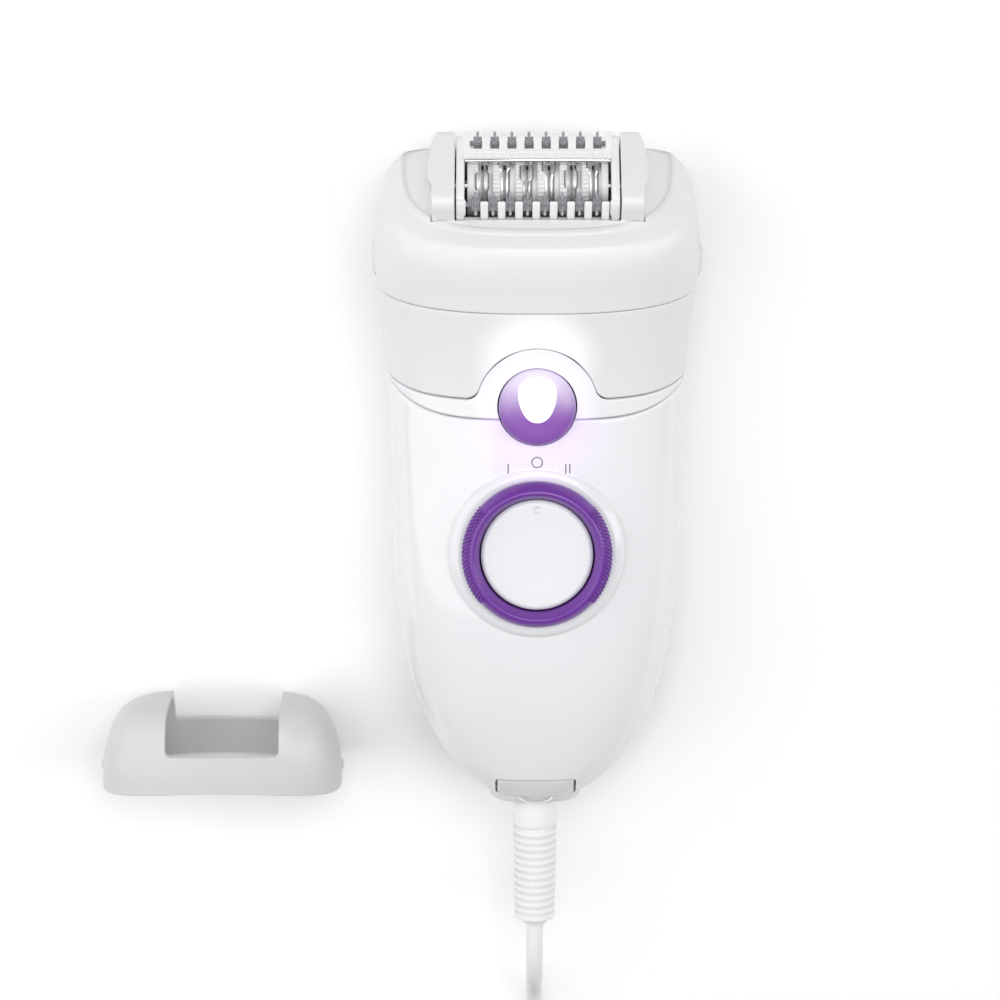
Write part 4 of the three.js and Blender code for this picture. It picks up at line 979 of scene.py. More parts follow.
class EPILATOR_OT_switch(Operator):
    """Make the turning switch: its knurled ring, its disc, and the marks that it points at"""

    bl_idname = "epilator.switch"
    bl_label = "Switch"

    def execute(self, context):
        sizes = context.scene.epilator_sizes
        base, top, disc, radius = KNOB["base"], KNOB["top"], KNOB["disc"], KNOB["radius"]
        foot = base + 1.2
        profile = [
            (disc + 0.3, foot), (radius - 0.4, foot), (radius, foot + 0.6), (radius - 0.1, foot + 1.9),
            (radius - 0.75, top - 1.2), (radius - 1.55, top - 0.35), (radius - 2.3, top - 0.3),
            (disc + 0.55, foot + 2.7), (disc + 0.3, foot + 2.2), (disc + 0.3, foot),
        ]
        body = turned(rounded(profile, 0.35, 4), 192)
        teeth = []
        rows = ((14.93, 1.0), (14.93, 1.75), (14.72, 2.5), (14.4, 3.2), (13.98, 3.85))
        for row, (reach, height) in enumerate(rows):
            low, high = foot + height - 0.27, foot + height + 0.27
            tooth = block(reach - 0.35, reach + 0.22, -0.16, 0.16, low, high, 0.08, 1)
            count = sizes.knurl_teeth
            step = math.radians(80) / (count - 1)
            for side in (0, math.pi):
                first = side - math.radians(40) + (step / 2 if row % 2 else 0)
                teeth.append(
                    repeated(
                        tooth, "turn",
                        {"Count": count - row % 2, "Axis": (0, 0, 1), "First angle": first, "Angle step": step},
                        FINISHES["purple"],
                    )
                )
        ring = piece("switch_ring", *moved(merged([body] + teeth), panel_matrix(KNOB)), FINISHES["purple"], 45)
        fit(ring, "switch_knob", "purple", "knob_ring")

        hollow = [(0.75 * math.sin(a), 0.95 - 0.75 * math.cos(a)) for a in [math.pi / 2 * i / 6 for i in range(7)]]
        face = [(0, 32), (3, 32), (3, base - 0.4), (disc, base - 0.4), (disc, foot + 1.5), (disc - 0.7, foot + 2.15),
                (6, foot + 1.85), (0, foot + 1.7)]
        plate = piece(
            "switch_disc", *moved(turned(rounded(face, 0.4, 4), 160), panel_matrix(KNOB)), FINISHES["disc_white"], 50
        )
        crater = turned([(0, 0.2)] + hollow[1:] + [(0.85, 3), (0, 3)], 40)
        spot = panel_matrix(KNOB) @ Matrix.Translation((0, 9.3, foot + 1.1))
        carved(plate, moved(crater, spot), sharp=50)
        fit(plate, "switch_knob", "satin_white", "knob_disc")

        marks = merged([self.ring_mark(0, 76.4, 1.05, 0.27), self.bar_mark(-5.8), self.bar_mark(5.75),
                        self.bar_mark(6.55)])
        printed = piece("switch_marks", *marks, FINISHES["mark"], 60)
        fit(printed, "handle", "inner_plastic")
        return {"FINISHED"}

    def surface(self, x, station, lift):
        """A point just over the front shell."""
        share = bent(min(abs(x) / half_width(station), 1), 1 / SQUARENESS)
        point = housing_point(math.acos(share), station)
        return Vector((x, station, point.z + lift))

    def bar_mark(self, x):
        """One upright stroke that follows the shell."""
        outer, inner = [], []
        for i in range(12):
            station = 74.1 + 2.0 * i / 11
            xs = [x - 0.14, x - 0.07, x + 0.07, x + 0.14]
            outer.append([self.surface(v, station, 0.02) for v in xs])
            inner.append([self.surface(v, station, -0.05) for v in xs])
        return closed_shell(outer, inner, False)

    def ring_mark(self, x, station, radius, width):
        """A printed circle that follows the shell."""
        outer, inner = [], []
        for i in range(4):
            reach = radius - width / 2 + width * i / 3
            turn = [math.tau * k / 48 for k in range(48)]
            outer.append([self.surface(x + reach * math.cos(a), station + reach * math.sin(a), 0.02) for a in turn])
            inner.append([self.surface(x + reach * math.cos(a), station + reach * math.sin(a), -0.05) for a in turn])
        return closed_shell(outer, inner, True)


class EPILATOR_OT_lamp(Operator):
    """Make the lamp above the switch: its tinted ring, its bright window and the emitter inside"""

    bl_idname = "epilator.lamp"
    bl_label = "Lamp"

    def execute(self, context):
        base, top = LAMP["base"], LAMP["top"]
        profile = [(0, base - 2), (5.8, base - 2), (5.8, base), (7.65, base), (7.72, base + 2.4), (7.5, top - 1.6),
                   (6.8, top - 0.75), (5.4, top - 0.25), (3, top - 0.02), (0, top)]
        ring = piece("lamp_ring", *moved(turned(rounded(profile, 0.4, 4), 160), panel_matrix(LAMP)),
                     FINISHES["lamp"], 50)
        fit(ring, "handle", "lamp_purple", "lamp_bezel")

        # An egg, wide towards the tweezers, that lies on the ring's crown and swells a little over it.
        crown = [(0, top), (3, top - 0.02), (5.4, top - 0.25), (6.8, top - 0.75), (7.5, top - 1.6)]
        sides = 96
        rings = []
        for share, lift in ((0.97, -0.9), (1.0, -0.05), (0.985, 0.1), (0.95, 0.2), (0.85, 0.3), (0.6, 0.4),
                            (0.3, 0.45)):
            ring_points = []
            for i in range(sides):
                angle = math.tau * i / sides
                long = 2.75 if math.sin(angle) > 0 else 6.3
                x, y = 3.85 * bent(math.cos(angle), 0.92) * share, 3.45 + long * math.sin(angle) * share
                ring_points.append(Vector((x, y, smooth(crown, math.hypot(x, y)) + lift)))
            rings.append(ring_points)
        points, faces = skin(rings)
        faces.append(tuple(range(sides - 1, -1, -1)))
        centre, last = len(points), len(points) - sides
        points.append(Vector((0, 3.2, top + 0.42)))
        faces += [(last + c, last + (c + 1) % sides, centre) for c in range(sides)]
        window = piece("lamp_lens", *moved((points, faces), panel_matrix(LAMP)), FINISHES["window"], 50)
        fit(window, "handle", "lamp_glow", "lamp_window")
        dress("led", FINISHES["window"])
        return {"FINISHED"}


class EPILATOR_OT_socket(Operator):
    """Make the clear socket collar and dress the socket inside it"""

    bl_idname = "epilator.socket"
    bl_label = "Socket"

    def execute(self, context):
        sides = 128
        rings = []
        for station, half, back, front in ((-0.9, 8.1, 11, 23.4), (-0.75, 8.6, 10.5, 23.9), (-0.4, 9.1, 10, 24.6),
                                           (0.1, 9.5, 9.6, 25), (0.9, 9.75, 9.3, 25.3), (1.5, 9.8, 9.2, 25.4)):
            turns = [math.tau * i / sides for i in range(sides)]
            rings.append([section_point(angle, station, half, back, front) for angle in turns])
        # The sleeve behind the rim, then the bore that the connector goes into.
        for radius, station in ((6.7, 1.5), (6.7, 6.4), (5.45, 6.4), (5.45, 3), (5.45, 0.4), (5.6, -0.5),
                                (5.9, -0.9)):
            rings.append(hoop(radius, station, CORD_Z, sides))
        tongue_out, tongue_in = [], []
        reach = NOTCH["half"] - GAP
        for i in range(15):
            station = 1.4 + (NOTCH["top"] - GAP - 1.4) * i / 14
            out_row, in_row = [], []
            for k in range(41):
                x = -reach + 2 * reach * k / 40
                angle = math.acos(bent(min(max(x / half_width(station), -1), 1), 1 / SQUARENESS))
                edge = min(station - 1.2, NOTCH["top"] - GAP - station, reach - abs(x))
                top_z = housing_point(angle, station).z - 0.25 - dip(edge, 0.6)
                out_row.append(Vector((x, station, max(top_z, SPLIT_Z + 2))))
                in_row.append(Vector((x, station, max(top_z - 1.3, SPLIT_Z + 1.5))))
            tongue_out.append(out_row)
            tongue_in.append(in_row)
        oval = []
        for i in range(64):
            turn = math.tau * i / 64
            wire = []
            for k in range(10):
                roll = math.tau * k / 10
                grow = 1 + 0.09 * math.cos(roll)
                wire.append(Vector((3.5 * math.cos(turn) * grow, 1.6 + 1.5 * math.sin(turn) * grow,
                                    26.1 + 0.25 * math.sin(roll))))
            oval.append(wire)
        points, faces = merged([skin(rings, loop=True), closed_shell(tongue_out, tongue_in, False),
                                skin(oval, loop=True)])
        collar = piece("socket_collar_clear", points, faces, FINISHES["clear"], 50)
        fit(collar, "handle", "clear", "socket_collar")
        dress("socket_insert", FINISHES["comb_white"])
        for name in ("socket_pin_left", "socket_pin_right"):
            dress(name, FINISHES["brass"])
        return {"FINISHED"}


class EPILATOR_OT_works(Operator):
    """Give the parts inside the handle and the head their finishes"""

    bl_idname = "epilator.works"
    bl_label = "Inside parts"

    def execute(self, context):
        finishes = {
            "dark_steel": ("motor_can", "motor_shaft", "crown_axle"),
            "gear": ("motor_pinion", "crown_gear", "transfer_gear", "head_gear", "drum_gear"),
            "inner": ("chassis", "switch_block", "head_bracket"),
            "board": ("circuit_board",),
        }
        for finish, names in finishes.items():
            for name in names:
                dress(name, FINISHES[finish])
        return {"FINISHED"}


# ---- The tweezer head -------------------------------------------------------------------------------

POD = {"inner": 17.2, "outer": 22.9, "front": -9.9, "back": 9.3, "top": 8.0, "bend": 2.6, "reach": 142.5,
       "shoulder": 4.2, "drop": 8.0, "waist": 0.17}


def pod_section(x, inset, foot):
    """The pod's outline at one distance across, as points of the handle's frame."""
    front, back, top, bend = POD["front"] + inset, POD["back"] - inset, POD["top"] - inset, POD["bend"]
    places = [(front, foot / 2)]
    for i in range(13):
        angle = math.pi - math.pi / 2 * i / 12
        places.append((front + bend + bend * math.cos(angle), top - bend + bend * math.sin(angle)))
    for i in range(1, 8):
        places.append((front + bend + (back - front - 2 * bend) * i / 8, top))
    for i in range(13):
        angle = math.pi / 2 - math.pi / 2 * i / 12
        places.append((back - bend + bend * math.cos(angle), top - bend + bend * math.sin(angle)))
    places.append((back, foot))
    limit = POD["reach"] - inset
    over = abs(x) - (POD["outer"] - inset - POD["shoulder"])
    if over > 0:
        limit += POD["drop"] * (math.sqrt(max(1 - (over / POD["shoulder"]) ** 2, 0)) - 1)
    into = cassette_matrix()
    section = []
    for y, z in places:
        share = min(max((-2.6 - y) / 2.6, 0), 1)
        waist = 1 - POD["waist"] * share * share * (3 - 2 * share)
        side = math.copysign(POD["inner"] + (abs(x) - POD["inner"]) * waist, x)
        p = into @ Vector((side, y, z))
        section.append(Vector((p.x, min(p.y, limit), p.z)))
    return section


def pod_part(side, grow=0.0, inner=None, outer=None, foot=-9.0, round_off=0.0):
    """Points and faces of a pod, or of the room it needs."""
    inner = POD["inner"] if inner is None else inner
    outer = POD["outer"] if outer is None else outer
    steps = [0, 0.12, 0.3, 0.6] + [0.6 + (outer - inner - 1.0) * i / 22 for i in range(1, 23)]
    steps += [outer - inner - 0.28, outer - inner - 0.16, outer - inner - 0.06, outer - inner]
    sections = []
    for step in sorted(set(steps)):
        inset = -grow
        if round_off:
            inset += dip(step, 0.3) + dip(outer - inner - step, 0.4)
        sections.append(pod_section(side * (inner + step), inset, foot))
    return skin(sections, caps=True)


class EPILATOR_OT_head(Operator):
    """Make the tweezer head's shell, its top with the two side pods, and the release buttons"""

    bl_idname = "epilator.head"
    bl_label = "Tweezer head"

    def execute(self, context):
        angles = columns(0.0, math.pi, 120) + columns(math.pi, math.tau, 100)[1:-1]
        outer, inner = [], []
        steps = [0, 0.013, 0.034, 0.062, 0.1] + [0.1 + 5.9 * i / 56 for i in range(1, 57)]
        for u in steps:
            inset = dip(u * 3.85)
            outer.append([head_point(a, u, inset) for a in angles])
            inner.append([head_point(a, u, WALL) for a in angles])
        for i in range(1, 6):
            turn = math.pi / 2 * i / 5
            outer.append([head_point(a, 6, 0.8 * (1 - math.cos(turn)), 0.8 * math.sin(turn) * 0.6) for a in angles])
            inner.append([head_point(a, 6, WALL - (WALL - 0.81) * i / 5, 0.05 * i) for a in angles])
        shell = piece("head_body", *closed_shell(outer, inner, True), FINISHES["satin_white"])
        for side in (-1, 1):
            slot = block(side * 30 - 6, side * 30 + 6, *BUTTON["room"], 13.2, 24.8, 0.6, 2)
            carved(shell, slot, sharp=50)
            carved(shell, pod_part(side, 0.3, POD["inner"] - 0.3, POD["outer"] + 0.3), sharp=50)
        fit(shell, "head", "satin_white", "head_shell")

        inset = 0.8 + GAP
        station, width, back, front, lean, back_lean, squareness = HEAD_RINGS[-1]
        rows = []
        for lift, more, front_more in ((-2.6, 0, 0), (-0.6, 0, 0), (-0.35, 0.03, 0.03), (-0.15, 0.12, 0.12),
                                       (0.02, 0.28, 0.28), (0.13, 0.5, 0.5), (0.3, 1.1, 1.0), (0.62, 2.2, 1.9),
                                       (0.95, 3.2, 2.7), (1.25, 4.2, 3.4), (1.5, 5.0, 4.0)):
            rows.append([
                section_point(a, station + lift, width - inset - more, back + inset + more,
                              front - inset - front_more, (lean, back_lean), squareness)
                for a in angles
            ])
        top = piece("head_platform", *skin(rows, caps=True), FINISHES["satin_white"], 50)
        for side in (-1, 1):
            carved(top, pod_part(side, round_off=1), "UNION", 50)
        well = block(-POD["inner"], POD["inner"], POD["front"], POD["back"] - 0.3, -30, 30, 0.3)
        carved(top, moved(well, cassette_matrix()), sharp=50)
        for side in (-1, 1):
            hollow = pod_part(side, -1, POD["inner"] - 1, POD["outer"] - 1, -16)
            carved(top, hollow, sharp=50)
            hole = rod(123.2, 33.4, 0.9, side * 22.4 - 1.5, side * 22.4 + 1.5, 32)
            carved(top, hole, sharp=50)
        fit(top, "head", "satin_white", "head_top")

        for name, side in (("left", -1), ("right", 1)):
            self.button(name, side)
        return {"FINISHED"}

    def button(self, name, side):
        """A release button: a plate of the head's own shape, with finger ribs."""
        length, half = BUTTON["length"], BUTTON["half"]
        angles, outer, inner = [], [], []
        mid = 0.0 if side > 0 else math.pi
        heights = [-half + 2 * half * i / 32 for i in range(33)]
        for height in heights:
            reach = bent(abs(height) / 19.5, 1 / 0.78)
            angles.append(mid + side * math.copysign(math.asin(min(reach, 1)), height))
        for i in range(21):
            along = length * i / 20
            station = BUTTON["start"] + along
            u = 1 + (station - 115) / 5 if station >= 115 else (station - 111.15) / 3.85
            outer_row, inner_row = [], []
            for height, angle in zip(heights, angles):
                edge = min(along, length - along, height + half, half - height)
                point = head_point(angle, u, dip(edge, 0.5) - 0.1)
                under = head_point(angle, u, 1.7)
                outer_row.append(Vector((point.x, station, SPLIT_Z + height)))
                inner_row.append(Vector((under.x, station, SPLIT_Z + height)))
            outer.append(outer_row)
            inner.append(inner_row)
        plate = closed_shell(outer, inner, False)
        low, high = SPLIT_Z - 4.4, SPLIT_Z + 4.4
        profile = rounded([(0, low), (0.5, low), (0.5, high), (0, high)], 0.45, 5)
        rib = moved(turned(profile, 20), Matrix.Translation((side * 32.7, 0, 0)))
        row = {"Count": 4, "First": (0, 113.5, 0), "Step": (0, 1.4, 0)}
        ribs = repeated(rib, "row", row, FINISHES["satin_white"])
        button = piece(f"release_key_{name}", *merged([plate, ribs]), FINISHES["satin_white"], 50)
        fit(button, f"button_{name}", "satin_white", f"release_button_{name}")


class EPILATOR_OT_comb(Operator):
    """Make the comb frame around the tweezers, with its fingers, pips, guide bar and massage rollers"""

    bl_idname = "epilator.comb"
    bl_label = "Comb and massage rollers"

    def execute(self, context):
        sizes = context.scene.epilator_sizes
        into = cassette_matrix()
        white = FINISHES["comb_white"]
        parts = []
        outline = []
        for cy, cz, start in ((-6.8, 4.9, 180), (6.2, 4.9, 90)):
            outline += [
                (cy + 2.6 * math.cos(math.radians(start - 9 * i)), cz + 2.6 * math.sin(math.radians(start - 9 * i)))
                for i in range(11)
            ]
        outline = [(-9.4, -3.5)] + outline + [(8.8, -7)]
        # Two end plates with a thickened corner front and back, and three rails between them.
        rail = 15.3
        for side in (-1, 1):
            parts.append(prism(outline, *sorted((side * 15.2, side * 16.9)), 0.22))
            parts.append(block(*sorted((side * 14.9, side * 16.8)), -9.6, -8.2, 3.6, 7.4, 0.3))
        for y0, y1, z0, z1, bevel in ((-9.2, -7.9, -1.4, 1.3, 0.25), (1.7, 4.1, 6.9, 7.7, 0.2),
                                      (7.8, 8.6, -6, 1.5, 0.2)):
            parts.append(block(-rail, rail, y0, y1, z0, z1, bevel))
        for side in (-1, 1):
            parts.append(block(*sorted((side * 14.1, side * 15.5)), 3.6, 8.4, 6.5, 7.75, 0.2))
        count = sizes.front_fingers
        shape = [(-9.4, 0), (-9.4, 6.3), (-9.15, 6.9), (-8.85, 7.2), (-8.4, 6.9), (-8.4, 0)]
        finger = prism(shape, -0.82, 0.82, 0.32, 3)
        parts.append(repeated(finger, "row", {"Count": count, "First": (-3.1 * COMB_PITCH, 0, 0),
                                              "Step": (COMB_PITCH, 0, 0)}, white))
        shape = [(4, 6.6), (4, 7.6), (6.3, 7.95), (7.6, 7.8), (8.3, 7.2), (8.3, 6.6)]
        finger = prism(shape, -0.84, 0.84, 0.3, 3)
        parts.append(repeated(finger, "row", {"Count": count - 1, "First": (-3 * COMB_PITCH, 0, 0),
                                              "Step": (COMB_PITCH, 0, 0)}, white))
        frame_piece = piece("comb_frame", *moved(merged(parts), into), white, 45)
        fit(frame_piece, "head", "gloss_white", "cassette_frame")

        pip = turned([(0.16, 7.66), (0.4, 7.66), (0.4, 7.85), (0.34, 7.93), (0.22, 7.93), (0.16, 7.85)], 12)
        rows = []
        for row, y in enumerate((2.3, 3.35)):
            shift = 0.95 * (row % 2)
            first = (-13.3 + shift, y, 0)
            rows.append(repeated(pip, "row", {"Count": 15 - row % 2, "First": first, "Step": (1.9, 0, 0)}, white))
        pips = piece("comb_pips", *moved(merged(rows), into), white, 40)
        fit(pips, "head", "gloss_white")

        bar = moved(rod(1.05, 7.75, 0.45, -15.05, 15.05, 24), into)
        bar = piece("guide_bar_bright", *bar, FINISHES["chrome"], 50)
        fit(bar, "head", "chrome", "guide_bar")

        self.roller("front", FRONT_ROLLER, -0.1, into)
        self.roller("rear", REAR_ROLLER, 0.0, into)
        return {"FINISHED"}

    def roller(self, name, place, shift, into):
        """A row of star wheels on a thin shaft."""
        star = []
        for i in range(84):
            angle = math.tau * i / 84
            wave = 0.5 + 0.5 * math.cos(7 * angle)
            reach = 1.2 + 1.2 * wave**4
            star.append((reach * math.cos(angle), reach * math.sin(angle)))
        spool = [(0, -0.85), (1.35, -0.85), (1.5, -0.65), (1.3, -0.4), (1.3, 0.4), (1.5, 0.65), (1.35, 0.85),
                 (0, 0.85)]
        hub = moved(turned(spool, 28), Matrix.Rotation(math.pi / 2, 4, "Y"))
        disc = prism(star, -0.3, 0.3, 0.1, 1)
        wheel = merged([hub, moved(disc, Matrix.Rotation(math.radians(32), 4, "X"))])
        first = ((-3.5 + shift) * COMB_PITCH, 0, 0)
        wheels = repeated(wheel, "row", {"Count": 8, "First": first, "Step": (COMB_PITCH, 0, 0)}, FINISHES["smoke"])
        parts = merged([rod(0, 0, 0.55, -16.4, 16.4, 20), wheels])
        there = into @ Matrix.Translation((0, *place))
        roller = piece(f"{name}_roller_wheels", *moved(parts, there), FINISHES["smoke"], 40)
        fit(roller, f"{name}_roller", "smoke", f"{name}_massage_roller")


class EPILATOR_OT_drum(Operator):
    """Make the tweezer drum: its ribbed core, its steel blades and its clamping rods"""

    bl_idname = "epilator.drum"
    bl_label = "Tweezer drum"

    def execute(self, context):
        there = cassette_matrix() @ Matrix.Translation((0, 0, DRUM["lift"]))
        white, steel = FINISHES["drum_white"], FINISHES["steel"]
        units, pitch, half = DRUM["units"], DRUM["pitch"], DRUM["half"]
        first = -(units - 1) / 2 * pitch
        row = {"Count": units, "First": (first, 0, 0), "Step": (pitch, 0, 0)}
        lathe = Matrix.Rotation(math.pi / 2, 4, "Y")

        spool = rounded([(0, -2.4), (5.5, -2.4), (5.5, -0.8), (0, -0.8)], 0.2, 3)
        core = moved(turned(spool, 72), lathe)
        waist = [(0, 1.16), (4.8, 1.16), (4.66, 1.3), (4.62, 1.5), (4.75, 1.8), (5.1, 2.05), (5.5, 2.2), (0, 2.2)]
        guide = moved(turned(waist, 72), lathe)
        rib = block(-2.3, -0.9, -0.13, 0.13, 5.3, 5.72, 0.1, 1)
        ribs = repeated(rib, "turn", {"Count": 44, "Axis": (1, 0, 0), "First angle": 0.0,
                                      "Angle step": math.tau / 44}, white)
        parts = [rod(0, 0, DRUM["hub"], -half, half, 48)]
        inner = [(0, -0.39), (4.85, -0.39), (4.85, -0.29), (0, -0.29)]
        parts.append(repeated(moved(turned(inner, 72), lathe), "row", row, white))
        parts += [repeated(part, "row", row, white) for part in (core, guide, ribs)]
        for side in (-1, 1):
            flange = rounded([(0, side * half - 1.4 * (side > 0)), (5.9, side * half - 1.4 * (side > 0)),
                              (5.9, side * half + 1.4 * (side < 0)), (0, side * half + 1.4 * (side < 0))], 0.2, 3)
            parts.append(moved(turned(flange, 72), lathe))
        drum = piece("drum_ribbed_core", *moved(merged(parts), there), white, 40)
        fit(drum, "tweezer_drum", "inner_plastic", "drum_core")
        dress("drum_shaft", steel)

        thickness, flare = 0.35, 0.75
        for i in range(units):
            x = first + i * pitch
            for kind, at, lean, body in (("fixed", -0.75, -flare, "tweezer_drum"),
                                         ("moving", 0.35, flare, "tweezer_clamp")):
                self.blade(f"tweezer_{kind}_{i + 1}", i, x + at, thickness, lean, f"{kind}_blade_{i + 1}", body,
                           there)
        for name, angle in (("a", 45), ("b", 225)):
            y, z = 4.4 * math.cos(math.radians(angle)), 4.4 * math.sin(math.radians(angle))
            bar = piece(f"clamp_bar_{name}", *moved(rod(y, z, 0.5, -13.2, 13.2, 20), there), steel, 50)
            fit(bar, "tweezer_clamp", "steel", f"clamp_rod_{name}")
        return {"FINISHED"}

    def blade(self, name, index, x, thickness, lean, node, body, there):
        """A thin disc whose two tips flare away from the disc it grips against."""
        tip_at = math.radians((118, 66, 98, 80, 112, 72)[index])
        sides, hole, disc, tip_length = 96, 3.45, 4.95, 0.85
        turns = [math.tau * k / sides for k in range(sides)]
        fronts, backs = [], []
        for share in (0.72, 0.8, 0.86, 0.93, 1.0):
            front, back = [], []
            for angle in turns:
                near = abs(math.remainder(angle - tip_at, math.pi))
                tip = 1 / (1 + (near / 0.36) ** 8)
                radius = (disc + tip_length * tip) * share
                side = x + lean * tip * max((share - 0.86) / 0.14, 0)
                for ring, across in ((front, side), (back, side + thickness)):
                    ring.append(Vector((across, radius * math.cos(angle), radius * math.sin(angle))))
            fronts.append(front)
            backs.append(back)
        holes = [[Vector((x + d, hole * math.cos(a), hole * math.sin(a))) for a in turns] for d in (thickness, 0)]
        points, faces = skin(fronts + backs[::-1] + holes, loop=True)
        plate = piece(name, *moved((points, faces), there), FINISHES["blade_steel"], 35)
        # Painted shade: the tips' rim faces, out past 5.35 mm and facing outwards, take a near-black material in
        # place of steel.
        plate.data.materials.append(FINISHES["slate"])
        centre = seat(there @ Vector((x, 0, 0)))
        for face in plate.data.polygons:
            spoke = face.center - centre
            far = math.hypot(spoke.y, spoke.z) > 5.35 * MM
            face.material_index = 1 if far and abs(face.normal.x) < 0.75 else 0
        fit(plate, body, "steel", node)


# ---- The loose cap ----------------------------------------------------------------------------------


class EPILATOR_OT_cap(Operator):
    """Make the contact cap that slips over the tweezers"""

    bl_idname = "epilator.cap"
    bl_label = "Contact cap"

    def execute(self, context):
        w, middle, top = CAP["half_width"], CAP["depth"] / 2, CAP["top"]
        outer_knots = [(1, w, middle), (7, w - 0.3, middle - 0.2), (12, w - 1.4, middle - 0.9),
                       (15.9, w - 3.2, middle - 2.3), (18.4, w - 6.0, middle - 4.2), (top, w - 9.4, middle - 6.4)]
        inner_knots = [(1, w - 1.3, middle - 1.3), (3, w - 1.3, middle - 1.3), (11.6, w - 2.7, middle - 2.1),
                       (15.4, w - 5.1, middle - 3.6), (18.1, w - 10.3, middle - 6.9)]
        outer = self.rows(outer_knots, 46, w, middle, 0.3)
        inner = self.rows(inner_knots, 40, w, middle, 0)
        count = len(outer[0])
        walls = []
        for rows in (outer, inner):
            points, faces = skin(rows)
            faces.append(tuple(range(len(points) - count, len(points))))
            walls.append((points, faces))
        points, faces = merged(walls)
        low = len(outer) * count
        faces += [((c + 1) % count, c, low + c, low + (c + 1) % count) for c in range(count)]
        cap = piece("skin_contact_cap", points, faces, FINISHES["cap_white"], 45)
        window = moved(block(-CAP["window"], CAP["window"], CAP["sill"], top + 5, -5, CAP["depth"] + 5, 1.1, 4),
                       Matrix.Translation((CAP["x"] + 0.9, CAP["station"], 0)))
        carved(cap, window, sharp=45)
        for side in (-1, 1):
            nub = turned(rounded([(0, -0.4), (1.4, -0.4), (1.4, 0.2), (0.9, 0.8), (0, 0.9)], 0.3, 3), 40)
            spot = Matrix.Translation((CAP["x"] + side * (w - 0.5), CAP["station"] + 5, middle))
            turn = Matrix.Rotation(side * math.pi / 2, 4, "Y")
            carved(cap, moved(nub, spot @ turn), "UNION", 45)
        fit(cap, "cap", "satin_white", "contact_cap")
        return {"FINISHED"}

    def rows(self, knots, count, w, middle, edge):
        """Rings of the cap's outline from its mouth upwards."""
        rows = []
        low, high = knots[0][0], knots[-1][0]
        steps = [low + d for d in EDGE_STEPS] if edge else [low]
        steps += [low + 0.5 + (high - low - 0.5) * i / count for i in range(count + 1)]
        for station in steps:
            width = smooth([(k[0], k[1]) for k in knots], station) - dip(station - low, edge or 0.001)
            half = smooth([(k[0], k[2]) for k in knots], station) - dip(station - low, edge or 0.001)
            row = []
            for i in range(192):
                angle = math.tau * i / 192
                x = width * bent(math.cos(angle), 0.7)
                z = middle + half * bent(math.sin(angle), 0.7)
                saddle = 2.2 * (1 - (x / w) ** 2) * max(0, min(1, (9 - station) / 8))
                row.append(Vector((CAP["x"] + x, CAP["station"] + station + saddle, max(z, 0))))
            rows.append(row)
        return rows


# ---- The cord set -----------------------------------------------------------------------------------

LEAD_BEND = 14.4
TAIL_BEND = 12.9
TAIL_FOOT = -73.6
TABLE_Z = 1.85


def lead_points():
    """Straight out of the strain relief, then down to the table in two equal bends."""
    drop = CORD_Z - TABLE_Z
    turn = math.acos(1 - drop / 2 / LEAD_BEND)
    made = [Vector((0, -RELIEF_LENGTH - step, CORD_Z)) for step in (0, 2, 4)]
    start = -RELIEF_LENGTH - 5
    run = 2 * LEAD_BEND * math.sin(turn)
    for i in range(13):
        angle = turn * i / 12
        made.append(Vector((0, start - LEAD_BEND * math.sin(angle), CORD_Z - LEAD_BEND * (1 - math.cos(angle)))))
    for i in range(1, 13):
        angle = turn * (1 - i / 12)
        made.append(
            Vector((0, start - run + LEAD_BEND * math.sin(angle), TABLE_Z + LEAD_BEND * (1 - math.cos(angle))))
        )
    return made + [Vector((0, station, TABLE_Z)) for station in (-66, -72, -78, -84, -88)]


def tail_points():
    """Off the winding, round in one half turn and into the adapter."""
    left, foot = ADAPTER["x"], TAIL_FOOT
    centre = left + TAIL_BEND
    made = [Vector((left + 2 * TAIL_BEND, station, 12.7)) for station in (-89, -84, -79)]
    for i in range(25):
        angle = math.pi * i / 24
        x, station = centre + TAIL_BEND * math.cos(angle), foot + TAIL_BEND * math.sin(angle)
        made.append(Vector((x, station, 12.7 + 0.3 * i / 24)))
    return made + [Vector((left, foot - 0.8, 13))]


def coil_points():
    """The winding: four flat layers, in and out by turns, each climbing onto the last."""
    wide, narrow, exit_radius = 27.2, 16.1, 31.2
    heights = (TABLE_Z, 5.55, 9.25, 12.75)
    per_turn = 28
    hold, leave, total = 0.3, 0.4, 12.5
    sweep = (total - 3 * hold - leave) / 4
    knots, at, radius = [(0.0, wide, heights[0])], 0.0, wide
    for layer, height in enumerate(heights):
        radius = narrow if layer % 2 == 0 else wide
        at += sweep
        knots.append((at, radius, height))
        if layer < 3:
            at += hold
            knots.append((at, radius, heights[layer + 1]))
    knots.append((total, exit_radius, 12.6))
    made = []
    for i in range(int(total * per_turn) + 1):
        turn = min(i / per_turn, total)
        k = max(j for j, knot in enumerate(knots[:-1]) if knot[0] <= turn + 1e-9)
        share = (turn - knots[k][0]) / (knots[k + 1][0] - knots[k][0])
        climbing = k % 2 == 1
        ease = share * share * (3 - 2 * share) if climbing else share
        radius = knots[k][1] + (knots[k + 1][1] - knots[k][1]) * share
        height = knots[k][2] + (knots[k + 1][2] - knots[k][2]) * ease
        angle = -math.tau * turn
        x, station = COIL["x"] + radius * math.cos(angle), COIL["station"] + radius * math.sin(angle)
        made.append(Vector((x, station, height)))
    return made


